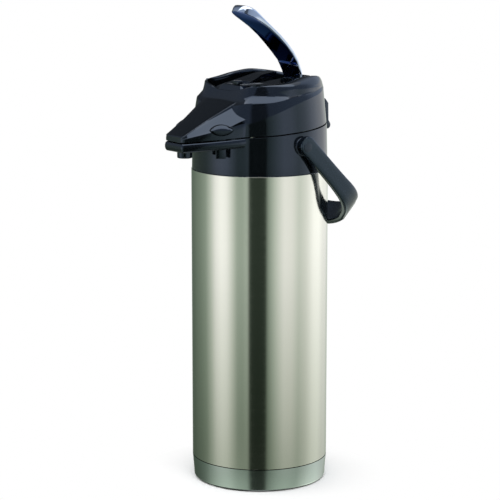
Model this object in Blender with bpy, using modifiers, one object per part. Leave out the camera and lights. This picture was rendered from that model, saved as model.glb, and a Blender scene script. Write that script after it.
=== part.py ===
# Lever airpot: a steel vacuum flask with a pump lid, a carrying bail and a pouring spout.
# Metres, +Z up, the spout points along -Y, the base stands on z = 0.

import math

import bmesh
import bpy
from mathutils import Matrix, Vector

# Fits between pieces
TOUCH = 0.0003
RUNNING_FIT = 0.0005
SEAM_GAP = 0.0004

# How finely round shapes are drawn
FACETS_LARGE = 48
FACETS_MEDIUM = 24
FACETS_SMALL = 16
FACETS_SCREW = 10
CORNER_STEPS = 4

# Steel body
BODY_RADIUS = 0.0750
SHELL_WALL = 0.0012
SHELL_LENGTH = 0.3183
BASE_TOP = 0.0297
BASE_CORNER = 0.0090
FOOT_OVERHANG = 0.0005
FOOT_HEIGHT = 0.0030
BASE_RING_WALL = 0.0020
BASE_RING_REACH = 0.0100

# Vacuum flask
VACUUM_GAP = 0.0088
LINER_WALL = 0.0010
LINER_BOTTOM = 0.0260
LINER_CORNER = 0.0150
SHOULDER_DROP = 0.0310
NECK_DROP = 0.0120
MOUTH_RADIUS = 0.0380
LINER_FLANGE = 0.0080
CUSHION_RADIUS = 0.0300

# Collar, neck and spout tray
COLLAR_SETBACK = 0.0005
COLLAR_DRAFT = 0.0015
COLLAR_WALL = 0.0025
COLLAR_SKIRT = 0.0100
COLLAR_HEIGHT = 0.0460
NECK_RING_HEIGHT = 0.0060
NECK_LEDGE = 0.0020
GASKET_HEIGHT = 0.0040
GASKET_WIDTH = 0.0065
SEAM_SLOPE = 0.0765
TRAY_DEPTH = 0.0085
TRAY_WALL = 0.0026

# Siphon
SIPHON_RADIUS = 0.0050
SIPHON_BORE = 0.0036
SIPHON_FOOT_GAP = 0.0060
SIPHON_SETBACK = 0.0140
SIPHON_FLANGE = 0.0030
SIPHON_FLANGE_HEIGHT = 0.0015
HOLDER_HEIGHT = 0.0030
HOLDER_RIM = 0.0050
HOLDER_MARGIN = 0.0020
AIR_HOLE_RADIUS = 0.0080

# Lid drum, heights measured up from the seam at the axis
LID_SETBACK = 0.0017
LID_DRAFT = 0.0039
LID_WALL = 0.0026
CROWN_SETBACK = 0.0094
DRUM_RISE = 0.0440
CROWN_RISE = 0.0620
ROOF_WALL = 0.0028
LID_BASE_WALL = 0.0030
PLUG_WALL = 0.0020
PLUG_MARGIN = 0.0010
POST_RADIUS = 0.0040
POST_RISE = 0.0260
POST_SETBACK = 0.0071
SCREW_RADIUS = 0.0015
SCREW_HEAD = 0.0030
SCREW_HEAD_HEIGHT = 0.0018
SCREW_LENGTH = 0.0120

# Side view of the rim from behind the lid to the front wall: place along Y, rise above the seam
RIM_LINE = ((0.0620, 0.0400), (0.0490, 0.0520), (0.0340, 0.0570), (0.0100, 0.0535), (-0.0100, 0.0510),
            (-0.0400, 0.0495), (-0.0470, 0.0470), (-0.0540, 0.0380))
RIM_REAR_DROP = 0.0100
RIM_FRONT_RUN = 0.0050

# Spout hood
NOSE_LENGTH = 0.0427
NOSE_HALF_WIDTH = 0.0154
NOSE_DROP = 0.0030
ROOT_HALF_WIDTH = 0.0470
ROOT_PROUD = 0.0008
CREASE_RISE = 0.0140
RIDGE_HALF_WIDTH = 0.0345
RIDGE_RISE = 0.0300
HOOD_OVERLAP = 0.0270
HOOD_WALL = 0.0025

# Nozzle and delivery tube
NOZZLE_SETBACK = 0.0130
NOZZLE_RADIUS = 0.0080
NOZZLE_BORE = 0.0052
NOZZLE_DROP = 0.0266
NOZZLE_FLANGE = 0.0025
NOZZLE_WAY = 0.0040
DELIVERY_RADIUS = 0.0040
DELIVERY_BORE = 0.0029
DELIVERY_RISE = 0.0110
DELIVERY_BEND = 0.0080

# Lever bay
BAY_HALF_WIDTH = 0.0440
BAY_FRONT_SETBACK = 0.0130
BAY_REAR_SETBACK = 0.0094
PAN_WALL = 0.0020
PAN_RISE = 0.0320
DECK_HALF_WIDTH = 0.0275
DECK_REAR = 0.0400
DECK_RISE = 0.0520
DECK_NOSE_RISE = 0.0466
DECK_WALL = 0.0025
SLOT_MARGIN = 0.0007
SLOT_FRONT = 0.0040

# Pump lever
LEVER_HALF_WIDTH = 0.0150
LEVER_WALL = 0.0025
LEVER_SKIN = 0.0030
LEVER_DEPTH = 0.0082
LEVER_BOW = 0.0056
LEVER_BOW_STEPS = 6
LEVER_SHANK = 0.0270
LEVER_LEAN = 0.0040
LEVER_PIVOT_SETBACK = 0.0174
LEVER_PIVOT_RISE = 0.0310
LEVER_TRAVEL = 38.0
LEVER_EYE = 0.0080
LEVER_TIP_FORWARD = 0.0300
LEVER_TIP_RISE = 0.1355
THUMB_PAD_LENGTH = 0.0130
THUMB_PAD_DEPTH = 0.0115
THUMB_NOTCH = 0.0050
LEVER_PIN_RADIUS = 0.0025
BRACKET_WALL = 0.0030
BRACKET_HALF_LENGTH = 0.0080
CRANK_RADIUS = 0.0360
CRANK_HALF_WIDTH = 0.0060
CRANK_NOSE = 0.0040

# Bellows pump
BELLOWS_RADIUS = 0.0235
BELLOWS_ROOT = 0.0190
BELLOWS_FOLDS = 5
BELLOWS_SEAT_RISE = 0.0080
BELLOWS_WALL = 0.0012
PLUNGER_WALL = 0.0030
SPRING_RADIUS = 0.0120
SPRING_WIRE = 0.0008
SPRING_TURNS = 5
SPRING_POINTS = 10
VALVE_WALL = 0.0010

# Lock slider on the deck
LOCK_RISE = 0.0485
LOCK_SIDE = 0.0060
LOCK_SETBACK = 0.0090
LOCK_LENGTH = 0.0110
LOCK_WIDTH = 0.0070
LOCK_HEIGHT = 0.0035
LOCK_TRAVEL = 0.0120
LOCK_STEM = 0.0040
LOCK_FOOT = 0.0020

# Lid latches on both sides of the hood
LATCH_SETBACK = 0.0370
LATCH_RISE = 0.0045
LATCH_TRAVEL = 0.0030
PAD_LENGTH = 0.0240
PAD_HEIGHT = 0.0105
PAD_PROUD = 0.0016
PAD_DEPTH = 0.0050
PAD_STEPS = 6
HOOK_FRONT = 0.0085
HOOK_REAR = 0.0025
HOOK_WALL = 0.0040
HOOK_DROP = 0.0265
HOOK_SWING = 0.0025

# Rear hinge
HINGE_STANDOFF = 0.0057
HINGE_DROP = 0.0030
KNUCKLE_RADIUS = 0.0042
HINGE_PIN_RADIUS = 0.0022
HINGE_HALF_WIDTH = 0.0220
LUG_HALF_WIDTH = 0.0115
LUG_DROP = 0.0200
STRAP_RISE = 0.0270
STRAP_CHAMFER = 0.0060

# Carrying bail
BAIL_DROP = 0.0150
BAIL_STANDOFF = 0.0009
BAIL_WALL = 0.0070
BAIL_HANG = 43.0
BAIL_ARM = 0.0790
BAIL_CORNER = 0.0350
BAIL_CORNER_TURN = 56.0
BAIL_EYE = 0.0080
BAIL_ARM_WIDTH = 0.0170
BAIL_GRIP_WIDTH = 0.0330
BAIL_STEPS = 6
TRUNNION_RADIUS = 0.0055
BUSH_RADIUS = 0.0100
BUSH_BACK = 0.0060

# Radii that follow from the sizes above
SHELL_INSIDE = BODY_RADIUS - SHELL_WALL
LINER_RADIUS = SHELL_INSIDE - VACUUM_GAP
FOOT_RADIUS = BODY_RADIUS - BASE_CORNER + FOOT_OVERHANG
COLLAR_RADIUS = BODY_RADIUS - COLLAR_SETBACK
COLLAR_TOP_RADIUS = COLLAR_RADIUS - COLLAR_DRAFT
COLLAR_INSIDE = COLLAR_TOP_RADIUS - COLLAR_WALL
LID_RADIUS = BODY_RADIUS - LID_SETBACK
LID_TOP_RADIUS = LID_RADIUS - LID_DRAFT
CROWN_RADIUS = LID_TOP_RADIUS - CROWN_SETBACK
BAY_REAR_RADIUS = LID_TOP_RADIUS - BAY_REAR_SETBACK
PLUG_RADIUS = MOUTH_RADIUS + GASKET_WIDTH + PLUG_MARGIN
POST_CIRCLE = LID_RADIUS - POST_SETBACK
BAIL_INSIDE = BODY_RADIUS + BAIL_STANDOFF

# Heights that follow, stacked from the base
SHELL_TOP = BASE_TOP + SHELL_LENGTH
COLLAR_BOTTOM = SHELL_TOP + TOUCH
LINER_TOP = SHELL_TOP + LINER_WALL
NECK_BOTTOM = LINER_TOP + TOUCH
NECK_TOP = NECK_BOTTOM + NECK_RING_HEIGHT
GASKET_TOP = NECK_TOP + TOUCH + GASKET_HEIGHT
PLUG_BOTTOM = GASKET_TOP + TOUCH
HOLDER_BOTTOM = NECK_BOTTOM + NECK_LEDGE + TOUCH
HOLDER_TOP = HOLDER_BOTTOM + HOLDER_HEIGHT
SEAM_HEIGHT = SHELL_TOP + COLLAR_HEIGHT
LID_BASE_HIGH = SEAM_GAP + LID_BASE_WALL
DRUM_SHOULDER = SEAM_HEIGHT + DRUM_RISE
LID_CROWN = SEAM_HEIGHT + CROWN_RISE
RIDGE_TOP = SEAM_HEIGHT + RIDGE_RISE
NOSE_TOP = SEAM_HEIGHT - NOSE_DROP
CREASE_HEIGHT = SEAM_HEIGHT + CREASE_RISE
NOZZLE_BOTTOM = SEAM_HEIGHT - NOZZLE_DROP
PAN_FLOOR = SEAM_HEIGHT + PAN_RISE
LOCK_LAND = SEAM_HEIGHT + LOCK_RISE
LATCH_HEIGHT = SEAM_HEIGHT + LATCH_RISE
HOOK_BOTTOM = SEAM_HEIGHT - HOOK_DROP
HINGE_HEIGHT = SEAM_HEIGHT - HINGE_DROP
BAIL_PIVOT_HEIGHT = SEAM_HEIGHT - BAIL_DROP
LEVER_PIVOT_HEIGHT = SEAM_HEIGHT + LEVER_PIVOT_RISE
LEVER_TIP_TOP = SEAM_HEIGHT + LEVER_TIP_RISE
BELLOWS_SEAT_TOP = SEAM_HEIGHT + BELLOWS_SEAT_RISE

# Places along Y that follow
TILT = math.atan(SEAM_SLOPE)
NOSE_REACH = LID_RADIUS + NOSE_LENGTH
ROOT_REACH = math.sqrt(LID_RADIUS ** 2 - ROOT_HALF_WIDTH ** 2) + ROOT_PROUD
HOOD_TAIL = ROOT_REACH - HOOD_OVERLAP
NOZZLE_REACH = NOSE_REACH - NOZZLE_SETBACK
LATCH_FORWARD = NOSE_REACH - LATCH_SETBACK
BAY_FRONT = ROOT_REACH - BAY_FRONT_SETBACK
LOCK_FORWARD = BAY_FRONT - LOCK_SETBACK
SIPHON_FORWARD = MOUTH_RADIUS - SIPHON_SETBACK
SLOT_HALF_WIDTH = LEVER_HALF_WIDTH + RUNNING_FIT + BRACKET_WALL + SLOT_MARGIN
LEVER_PIVOT_BACK = LID_TOP_RADIUS - LEVER_PIVOT_SETBACK
HINGE_BACK = LID_RADIUS + HINGE_STANDOFF
HALF_TRAVEL = math.radians(LEVER_TRAVEL / 2)
PLUNGER_BACK = LEVER_PIVOT_BACK - CRANK_RADIUS * math.cos(HALF_TRAVEL)
CRANK_REST_HEIGHT = LEVER_PIVOT_HEIGHT + CRANK_RADIUS * math.sin(HALF_TRAVEL)
PLUNGER_TOP = CRANK_REST_HEIGHT - CRANK_NOSE - 2 * TOUCH
BELLOWS_TOP = PLUNGER_TOP - PLUNGER_WALL - TOUCH

# The hood's side wall in plan: its run from nose to root and its outward normal
WALL_RUN = Vector((ROOT_HALF_WIDTH - NOSE_HALF_WIDTH, NOSE_REACH - ROOT_REACH, 0))
WALL_SLOPE = WALL_RUN.x / WALL_RUN.y
WALL_NORMAL = Vector((WALL_RUN.y, -WALL_RUN.x, 0)).normalized()

# Longer than the object, for cutters that must pass right through
REACH = BODY_RADIUS * 5
SIDES = (1, -1)
SIDE_NAMES = {1: "right", -1: "left"}
PARTS = "lever_airpot"
CUTTERS = "airpot_cutters"


def clear_scene():
    for item in list(bpy.data.objects):
        bpy.data.objects.remove(item, do_unlink=True)


def make_collection(name):
    found = bpy.data.collections.get(name) or bpy.data.collections.new(name)
    if found.name not in bpy.context.scene.collection.children:
        bpy.context.scene.collection.children.link(found)
    return found


def make_material(name, colour, roughness, metallic):
    found = bpy.data.materials.new(name)
    found.use_nodes = True
    shader = found.node_tree.nodes["Principled BSDF"]
    shader.inputs["Base Color"].default_value = (*colour, 1)
    shader.inputs["Roughness"].default_value = roughness
    shader.inputs["Metallic"].default_value = metallic
    return found


def add(name, mesh, finish=None):
    # without a finish the object is a cutter, kept out of the render
    item = bpy.data.objects.new(name, mesh)
    if finish:
        parts.objects.link(item)
        mesh.materials.append(finish)
    else:
        cutters.objects.link(item)
        item.hide_render = True
        item.display_type = "WIRE"
    return item


def from_bmesh(name, shape, finish=None):
    mesh = bpy.data.meshes.new(name)
    bmesh.ops.recalc_face_normals(shape, faces=shape.faces)
    shape.to_mesh(mesh)
    shape.free()
    return add(name, mesh, finish)


def turned(name, profile, finish=None, facets=FACETS_LARGE, closed=False):
    # the profile runs down its outer side; a closed one makes a ring
    mesh = bpy.data.meshes.new(name)
    edges = [(i, i + 1) for i in range(len(profile) - 1)]
    if closed:
        edges.append((len(profile) - 1, 0))
    mesh.from_pydata([(r, 0, z) for r, z in profile], edges, [])
    item = add(name, mesh, finish)
    screw = item.modifiers.new("turn", "SCREW")
    screw.steps = facets
    screw.render_steps = facets
    screw.use_merge_vertices = True
    screw.merge_threshold = 0.00001
    return item


def ring(name, inner, outer, low, high, finish=None, facets=FACETS_LARGE):
    profile = [(inner, high), (outer, high), (outer, low), (inner, low)]
    return turned(name, profile, finish, facets, closed=True)


def box(name, low, high, finish=None):
    shape = bmesh.new()
    bmesh.ops.create_cube(shape, size=1)
    size = Vector(high) - Vector(low)
    bmesh.ops.scale(shape, vec=size, verts=shape.verts)
    bmesh.ops.translate(shape, vec=(Vector(low) + Vector(high)) / 2, verts=shape.verts)
    return from_bmesh(name, shape, finish)


def rod(name, radius, start, end, finish=None, facets=FACETS_SMALL):
    # a round bar between two points
    start, end = Vector(start), Vector(end)
    shape = bmesh.new()
    bmesh.ops.create_cone(shape, cap_ends=True, segments=facets, radius1=radius, radius2=radius,
                          depth=(end - start).length)
    turn = Vector((0, 0, 1)).rotation_difference(end - start).to_matrix()
    bmesh.ops.rotate(shape, matrix=turn, verts=shape.verts)
    bmesh.ops.translate(shape, vec=(start + end) / 2, verts=shape.verts)
    return from_bmesh(name, shape, finish)


def post(name, radius, y):
    # an upright cutter through the whole height, on the centre plane
    return rod(name, radius, (0, y, BASE_TOP), (0, y, LID_CROWN), facets=FACETS_MEDIUM)


def mesh_of_curve(name, data, finish):
    carrier = bpy.data.objects.new(name + "_curve", data)
    bpy.context.scene.collection.objects.link(carrier)
    ready = carrier.evaluated_get(bpy.context.evaluated_depsgraph_get())
    mesh = bpy.data.meshes.new_from_object(ready)
    mesh.name = name
    bpy.data.objects.remove(carrier)
    shape = bmesh.new()
    shape.from_mesh(mesh)
    bmesh.ops.remove_doubles(shape, verts=shape.verts, dist=0.000001)
    bmesh.ops.recalc_face_normals(shape, faces=shape.faces)
    shape.to_mesh(mesh)
    shape.free()
    mesh.materials.clear()
    return add(name, mesh, finish)


def plate(name, outline, low, high, finish=None):
    # a flat outline in XY, as thick as low to high
    data = bpy.data.curves.new(name, "CURVE")
    data.dimensions = "2D"
    data.fill_mode = "BOTH"
    data.extrude = (high - low) / 2
    spline = data.splines.new("POLY")
    spline.points.add(len(outline) - 1)
    for point, (x, y) in zip(spline.points, outline):
        point.co = (x, y, 0, 1)
    spline.use_cyclic_u = True
    item = mesh_of_curve(name, data, finish)
    item.data.transform(Matrix.Translation((0, 0, (low + high) / 2)))
    return item


def side_plate(name, outline, half_width, finish=None, centre=0.0):
    # an outline in the YZ plane, as wide as half_width on both sides of centre
    item = plate(name, outline, centre - half_width, centre + half_width, finish)
    item.data.transform(Matrix(((0, 0, 1, 0), (1, 0, 0, 0), (0, 1, 0, 0), (0, 0, 0, 1))))
    return item


def loft(name, sections, finish=None):
    # quads between sections that have the same number of points, with both ends closed
    shape = bmesh.new()
    rings = [[shape.verts.new(point) for point in section] for section in sections]
    for ring, following in zip(rings, rings[1:]):
        for i in range(len(ring)):
            k = (i + 1) % len(ring)
            shape.faces.new((ring[i], ring[k], following[k], following[i]))
    shape.faces.new(rings[0])
    shape.faces.new(list(reversed(rings[-1])))
    return from_bmesh(name, shape, finish)


def pipe(name, points, radius, finish=None, smooth=2):
    # a round bar along a polyline, with closed ends
    data = bpy.data.curves.new(name, "CURVE")
    data.dimensions = "3D"
    data.bevel_depth = radius
    data.bevel_resolution = smooth
    data.use_fill_caps = True
    spline = data.splines.new("POLY")
    spline.points.add(len(points) - 1)
    for point, place in zip(spline.points, points):
        point.co = (*place, 1)
    return mesh_of_curve(name, data, finish)


def boolean(item, other, operation):
    step = item.modifiers.new(operation.lower() + "_" + other.name, "BOOLEAN")
    step.operation = operation
    step.solver = "EXACT"
    step.object = other


def cut(item, *others):
    for other in others:
        boolean(item, other, "DIFFERENCE")


def join(item, *others):
    for other in others:
        boolean(item, other, "UNION")


def on_seam(item):
    # lays a piece drawn flat at z = 0 into the tilted plane of the lid seam
    item.location = (0, 0, SEAM_HEIGHT)
    item.rotation_euler = (TILT, 0, 0)
    return item


def seam_block(name, low, high):
    return on_seam(box(name, (-REACH, -REACH, low), (REACH, REACH, high)))


def seam_at(y):
    return SEAM_HEIGHT + SEAM_SLOPE * y


def move_origin(item, place):
    # puts the origin on a joint axis without moving the shape
    item.data.transform(Matrix.Translation(-Vector(place)))
    item.location = place


def arc(centre, radius, start, end, steps):
    # points on an arc, angles in degrees
    angles = [math.radians(start + (end - start) * i / steps) for i in range(steps + 1)]
    return [(centre[0] + radius * math.cos(a), centre[1] + radius * math.sin(a)) for a in angles]


# Steel body


def make_foot_pad():
    chamfer = FOOT_HEIGHT / 3
    profile = [(0, FOOT_HEIGHT), (FOOT_RADIUS, FOOT_HEIGHT), (FOOT_RADIUS, chamfer)]
    profile += [(FOOT_RADIUS - chamfer, 0), (0, 0)]
    turned("foot_pad", profile, finishes["black_rubber"])


def make_base_cap():
    low = FOOT_HEIGHT + TOUCH
    high = BASE_TOP - TOUCH
    centre = (BODY_RADIUS - BASE_CORNER, low + BASE_CORNER)
    inside = arc(centre, BASE_CORNER - SHELL_WALL, -90, 0, CORNER_STEPS)
    outside = arc(centre, BASE_CORNER, 0, -90, CORNER_STEPS)
    rim = [(SHELL_INSIDE, high), (BODY_RADIUS, high)]
    turned("base_cap", [(0, low + SHELL_WALL)] + inside + rim + outside + [(0, low)], finishes["cool_steel"])


def make_base_ring():
    outer = SHELL_INSIDE - TOUCH
    ring("base_ring", outer - BASE_RING_WALL, outer, BASE_TOP - BASE_RING_REACH,
         BASE_TOP + BASE_RING_REACH, finishes["warm_steel"])


def make_outer_shell():
    ring("outer_shell", SHELL_INSIDE, BODY_RADIUS, BASE_TOP, SHELL_TOP, finishes["warm_steel"])


def make_flask_cushion():
    low = FOOT_HEIGHT + TOUCH + SHELL_WALL + TOUCH
    high = LINER_BOTTOM - TOUCH
    turned("flask_cushion", [(0, high), (CUSHION_RADIUS, high), (CUSHION_RADIUS, low), (0, low)],
           finishes["grey_rubber"])


def make_flask():
    # the inner vessel is welded from a round floor, a straight wall and a shoulder with neck and flange
    weld = LINER_BOTTOM + LINER_CORNER
    shoulder = LINER_TOP - SHOULDER_DROP
    neck = LINER_TOP - NECK_DROP
    inner = LINER_RADIUS - LINER_WALL
    neck_outer = MOUTH_RADIUS + LINER_WALL
    flange = MOUTH_RADIUS + LINER_FLANGE
    centre = (LINER_RADIUS - LINER_CORNER, weld)
    inside = arc(centre, LINER_CORNER - LINER_WALL, -90, 0, CORNER_STEPS)
    outside = arc(centre, LINER_CORNER, 0, -90, CORNER_STEPS)
    turned("flask_floor", [(0, LINER_BOTTOM + LINER_WALL)] + inside + outside + [(0, LINER_BOTTOM)],
           finishes["warm_steel"])
    ring("flask_wall", inner, LINER_RADIUS, weld + TOUCH, shoulder - TOUCH, finishes["warm_steel"])
    profile = [(inner, shoulder), (MOUTH_RADIUS, neck), (MOUTH_RADIUS, LINER_TOP), (flange, LINER_TOP)]
    profile += [(flange, LINER_TOP - LINER_WALL), (neck_outer, LINER_TOP - LINER_WALL)]
    profile += [(neck_outer, neck), (LINER_RADIUS, shoulder)]
    turned("flask_neck", profile, finishes["warm_steel"], closed=True)


def make_neck_ring():
    # carries the flask's neck in the collar, with a ledge for the siphon holder
    low = NECK_BOTTOM
    outer = COLLAR_INSIDE - TOUCH
    step = low + NECK_LEDGE
    lip = MOUTH_RADIUS + GASKET_WIDTH + NECK_LEDGE
    profile = [(MOUTH_RADIUS, NECK_TOP), (lip, NECK_TOP), (outer, low + NECK_RING_HEIGHT / 2), (outer, low)]
    profile += [(MOUTH_RADIUS - NECK_LEDGE, low), (MOUTH_RADIUS - NECK_LEDGE, step), (MOUTH_RADIUS, step)]
    turned("neck_ring", profile, finishes["black_plastic"], closed=True)


def make_neck_gasket():
    ring("neck_gasket", MOUTH_RADIUS + TOUCH, MOUTH_RADIUS + GASKET_WIDTH, NECK_TOP + TOUCH, GASKET_TOP,
         finishes["grey_rubber"])


# Siphon in the flask


def make_siphon():
    # the holder is a ring with a plate across its front, so the mouth stays open for filling
    place = (0, -SIPHON_FORWARD, 0)
    holder = turned("siphon_holder", [(0, HOLDER_TOP), (MOUTH_RADIUS - TOUCH, HOLDER_TOP),
                                      (MOUTH_RADIUS - TOUCH, HOLDER_BOTTOM), (0, HOLDER_BOTTOM)],
                    finishes["black_plastic"])
    rim = SIPHON_RADIUS + SIPHON_FLANGE
    inside = MOUTH_RADIUS - HOLDER_RIM
    chord = math.degrees(math.asin((rim + HOLDER_MARGIN - SIPHON_FORWARD) / inside))
    mouth = plate("holder_mouth", arc((0, 0), inside, chord, 180 - chord, FACETS_MEDIUM), BASE_TOP, LID_CROWN)
    cut(holder, mouth, post("siphon_hole_cutter", SIPHON_RADIUS + TOUCH, -SIPHON_FORWARD))
    flange = HOLDER_TOP + TOUCH
    top = flange + SIPHON_FLANGE_HEIGHT
    foot = LINER_BOTTOM + LINER_WALL + SIPHON_FOOT_GAP
    profile = [(SIPHON_BORE, top), (rim, top), (rim, flange)]
    profile += [(SIPHON_RADIUS, flange), (SIPHON_RADIUS, foot), (SIPHON_BORE, foot)]
    tube = turned("siphon_tube", profile, finishes["clear_plastic"], FACETS_SMALL, closed=True)
    tube.location = place
    seal = ring("siphon_seal", SIPHON_BORE, rim, top + TOUCH, PLUG_BOTTOM - TOUCH,
                finishes["grey_rubber"], FACETS_SMALL)
    seal.location = place


# Collar with the spout tray and the hinge lug


def beak(inset, tail):
    # plan outline of the spout, drawn in by inset and ending at tail in front of the axis
    nose = NOSE_REACH - inset
    half = NOSE_HALF_WIDTH - inset
    wide = ROOT_HALF_WIDTH - inset / WALL_NORMAL.x
    right = [(half, -nose), (wide, -ROOT_REACH), (wide, -tail)]
    return right + [(-x, y) for x, y in reversed(right)]


def hinge_hole(name):
    return rod(name, HINGE_PIN_RADIUS + TOUCH, (-REACH, HINGE_BACK, HINGE_HEIGHT),
               (REACH, HINGE_BACK, HINGE_HEIGHT))


def make_collar():
    top = seam_at(BODY_RADIUS) + COLLAR_SKIRT
    skirt = SHELL_INSIDE - TOUCH
    low = SHELL_TOP - COLLAR_SKIRT
    profile = [(COLLAR_INSIDE, top), (COLLAR_TOP_RADIUS, top), (COLLAR_RADIUS, COLLAR_BOTTOM)]
    profile += [(skirt, COLLAR_BOTTOM), (skirt, low), (COLLAR_INSIDE, low)]
    collar = turned("collar", profile, finishes["black_plastic"], closed=True)
    inside = COLLAR_INSIDE + COLLAR_WALL / 2
    tray = on_seam(plate("tray_block", beak(0, HOOD_TAIL), -TRAY_DEPTH, TRAY_DEPTH))
    pocket = on_seam(plate("tray_pocket", beak(TRAY_WALL, 0), TRAY_WALL - TRAY_DEPTH, 2 * TRAY_DEPTH))
    mouth = [(0, LID_CROWN), (inside, LID_CROWN), (inside, BASE_TOP), (0, BASE_TOP)]
    cut(tray, pocket, turned("tray_mouth", mouth))
    cut(tray, post("nozzle_way", NOZZLE_RADIUS + NOZZLE_WAY, -NOZZLE_REACH))
    lug_bottom = SEAM_HEIGHT - LUG_DROP
    lug_outline = arc((HINGE_BACK, HINGE_HEIGHT), KNUCKLE_RADIUS, 180, -45, PAD_STEPS)
    lug_outline += [(inside, lug_bottom), (inside, HINGE_HEIGHT)]
    lug = side_plate("hinge_lug", lug_outline, LUG_HALF_WIDTH)
    join(collar, tray, lug)
    bush_hole = rod("bush_hole", BUSH_RADIUS + TOUCH, (-REACH, 0, BAIL_PIVOT_HEIGHT),
                    (REACH, 0, BAIL_PIVOT_HEIGHT))
    hooks = [hook_way(side) for side in SIDES]
    cut(collar, bush_hole, *hooks, hinge_hole("lug_pin_hole"), seam_block("above_seam", 0, REACH))


def make_hinge():
    pin_end = HINGE_HALF_WIDTH - TOUCH
    rod("hinge_pin", HINGE_PIN_RADIUS, (-pin_end, HINGE_BACK, HINGE_HEIGHT),
        (pin_end, HINGE_BACK, HINGE_HEIGHT), finishes["warm_steel"])
    back = HINGE_BACK + KNUCKLE_RADIUS
    front = LID_RADIUS + TOUCH
    low = HINGE_HEIGHT - KNUCKLE_RADIUS
    top = SEAM_HEIGHT + STRAP_RISE
    outline = arc((HINGE_BACK, HINGE_HEIGHT), KNUCKLE_RADIUS, 180, 360, PAD_STEPS)
    outline += [(back, top - STRAP_CHAMFER), (back - STRAP_CHAMFER, top), (front, top)]
    outline += [(front, seam_at(front) + SEAM_GAP), (HINGE_BACK - KNUCKLE_RADIUS, seam_at(front) + SEAM_GAP)]
    strap = side_plate("hinge_strap", outline, HINGE_HALF_WIDTH, finishes["black_plastic"])
    turning = KNUCKLE_RADIUS + 2 * RUNNING_FIT
    middle = LUG_HALF_WIDTH + RUNNING_FIT
    gap = box("strap_gap", (-middle, front - turning, low - turning), (middle, REACH, HINGE_HEIGHT + turning))
    seat = turned("strap_seat", [(0, LID_CROWN), (LID_TOP_RADIUS, LID_CROWN),
                                 (LID_TOP_RADIUS + TOUCH, DRUM_SHOULDER),
                                 (LID_RADIUS + TOUCH, SEAM_HEIGHT), (0, SEAM_HEIGHT)])
    cut(strap, gap, seat, hinge_hole("strap_pin_hole"))
    move_origin(strap, (0, HINGE_BACK, HINGE_HEIGHT))


# Carrying bail


def make_bail():
    corner = math.radians(BAIL_CORNER_TURN)
    middle = BAIL_INSIDE + BAIL_WALL / 2
    arch_half = middle - BAIL_CORNER * (1 - math.cos(corner))
    arch_radius = arch_half / math.cos(corner)
    path = []
    for i in range(BAIL_STEPS + 1):
        along = -BAIL_EYE * math.cos(math.pi / 2 * i / BAIL_STEPS)
        half = max(math.sqrt(max(BAIL_EYE ** 2 - along ** 2, 0)), BAIL_EYE / 8)
        path.append((middle, along, 0, half))
    for i in range(BAIL_STEPS + 1):
        turn = corner * i / BAIL_STEPS
        x = middle - BAIL_CORNER * (1 - math.cos(turn))
        share = i / BAIL_STEPS
        half = (BAIL_ARM_WIDTH + (BAIL_GRIP_WIDTH - BAIL_ARM_WIDTH) * share) / 2
        path.append((x, BAIL_ARM + BAIL_CORNER * math.sin(turn), turn, half))
    crest = BAIL_ARM + BAIL_CORNER * math.sin(corner) - arch_radius * math.sin(corner)
    for i in range(1, BAIL_STEPS + 1):
        turn = corner + (math.pi / 2 - corner) * i / BAIL_STEPS
        along = crest + arch_radius * math.sin(turn)
        path.append((arch_radius * math.cos(turn), along, turn, BAIL_GRIP_WIDTH / 2))
    path += [(-x, along, math.pi - turn, half) for x, along, turn, half in reversed(path[:-1])]
    hang = math.radians(BAIL_HANG)
    arm = Vector((0, math.cos(hang), -math.sin(hang)))
    across = Vector((0, math.sin(hang), math.cos(hang)))
    sections = []
    for x, along, turn, half in path:
        spot = Vector((x, 0, 0)) + arm * along
        out = (Vector((math.cos(turn), 0, 0)) + arm * math.sin(turn)) * BAIL_WALL / 2
        sections.append([spot + out - across * half, spot + out + across * half,
                         spot - out + across * half, spot - out - across * half])
    bail = loft("bail_handle", sections, finishes["matte_black"])
    bail.location = (0, 0, BAIL_PIVOT_HEIGHT)
    for side in SIDES:
        join(bail, rod("trunnion_" + SIDE_NAMES[side], TRUNNION_RADIUS,
                       (side * (COLLAR_INSIDE - BUSH_BACK / 2), 0, BAIL_PIVOT_HEIGHT),
                       (side * middle, 0, BAIL_PIVOT_HEIGHT)))
        bush = rod("bail_bush_" + SIDE_NAMES[side], BUSH_RADIUS,
                   (side * (COLLAR_INSIDE - BUSH_BACK), 0, BAIL_PIVOT_HEIGHT),
                   (side * (BAIL_INSIDE - TOUCH), 0, BAIL_PIVOT_HEIGHT), finishes["black_plastic"])
        bore = rod("bush_bore_" + SIDE_NAMES[side], TRUNNION_RADIUS + TOUCH,
                   (side * BUSH_RADIUS, 0, BAIL_PIVOT_HEIGHT), (side * REACH, 0, BAIL_PIVOT_HEIGHT))
        cut(bush, bore)


# Lid shell


def rim_outline(drop):
    # everything above the rim line in the side view, the line lowered by drop
    line = [(REACH, RIM_LINE[0][1] - RIM_REAR_DROP), *RIM_LINE]
    line += [(-ROOT_REACH - RIM_FRONT_RUN, RIDGE_RISE), (-REACH, RIDGE_RISE)]
    return [(y, SEAM_HEIGHT + rise - drop) for y, rise in line] + [(-REACH, 2 * REACH), (REACH, 2 * REACH)]


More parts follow.
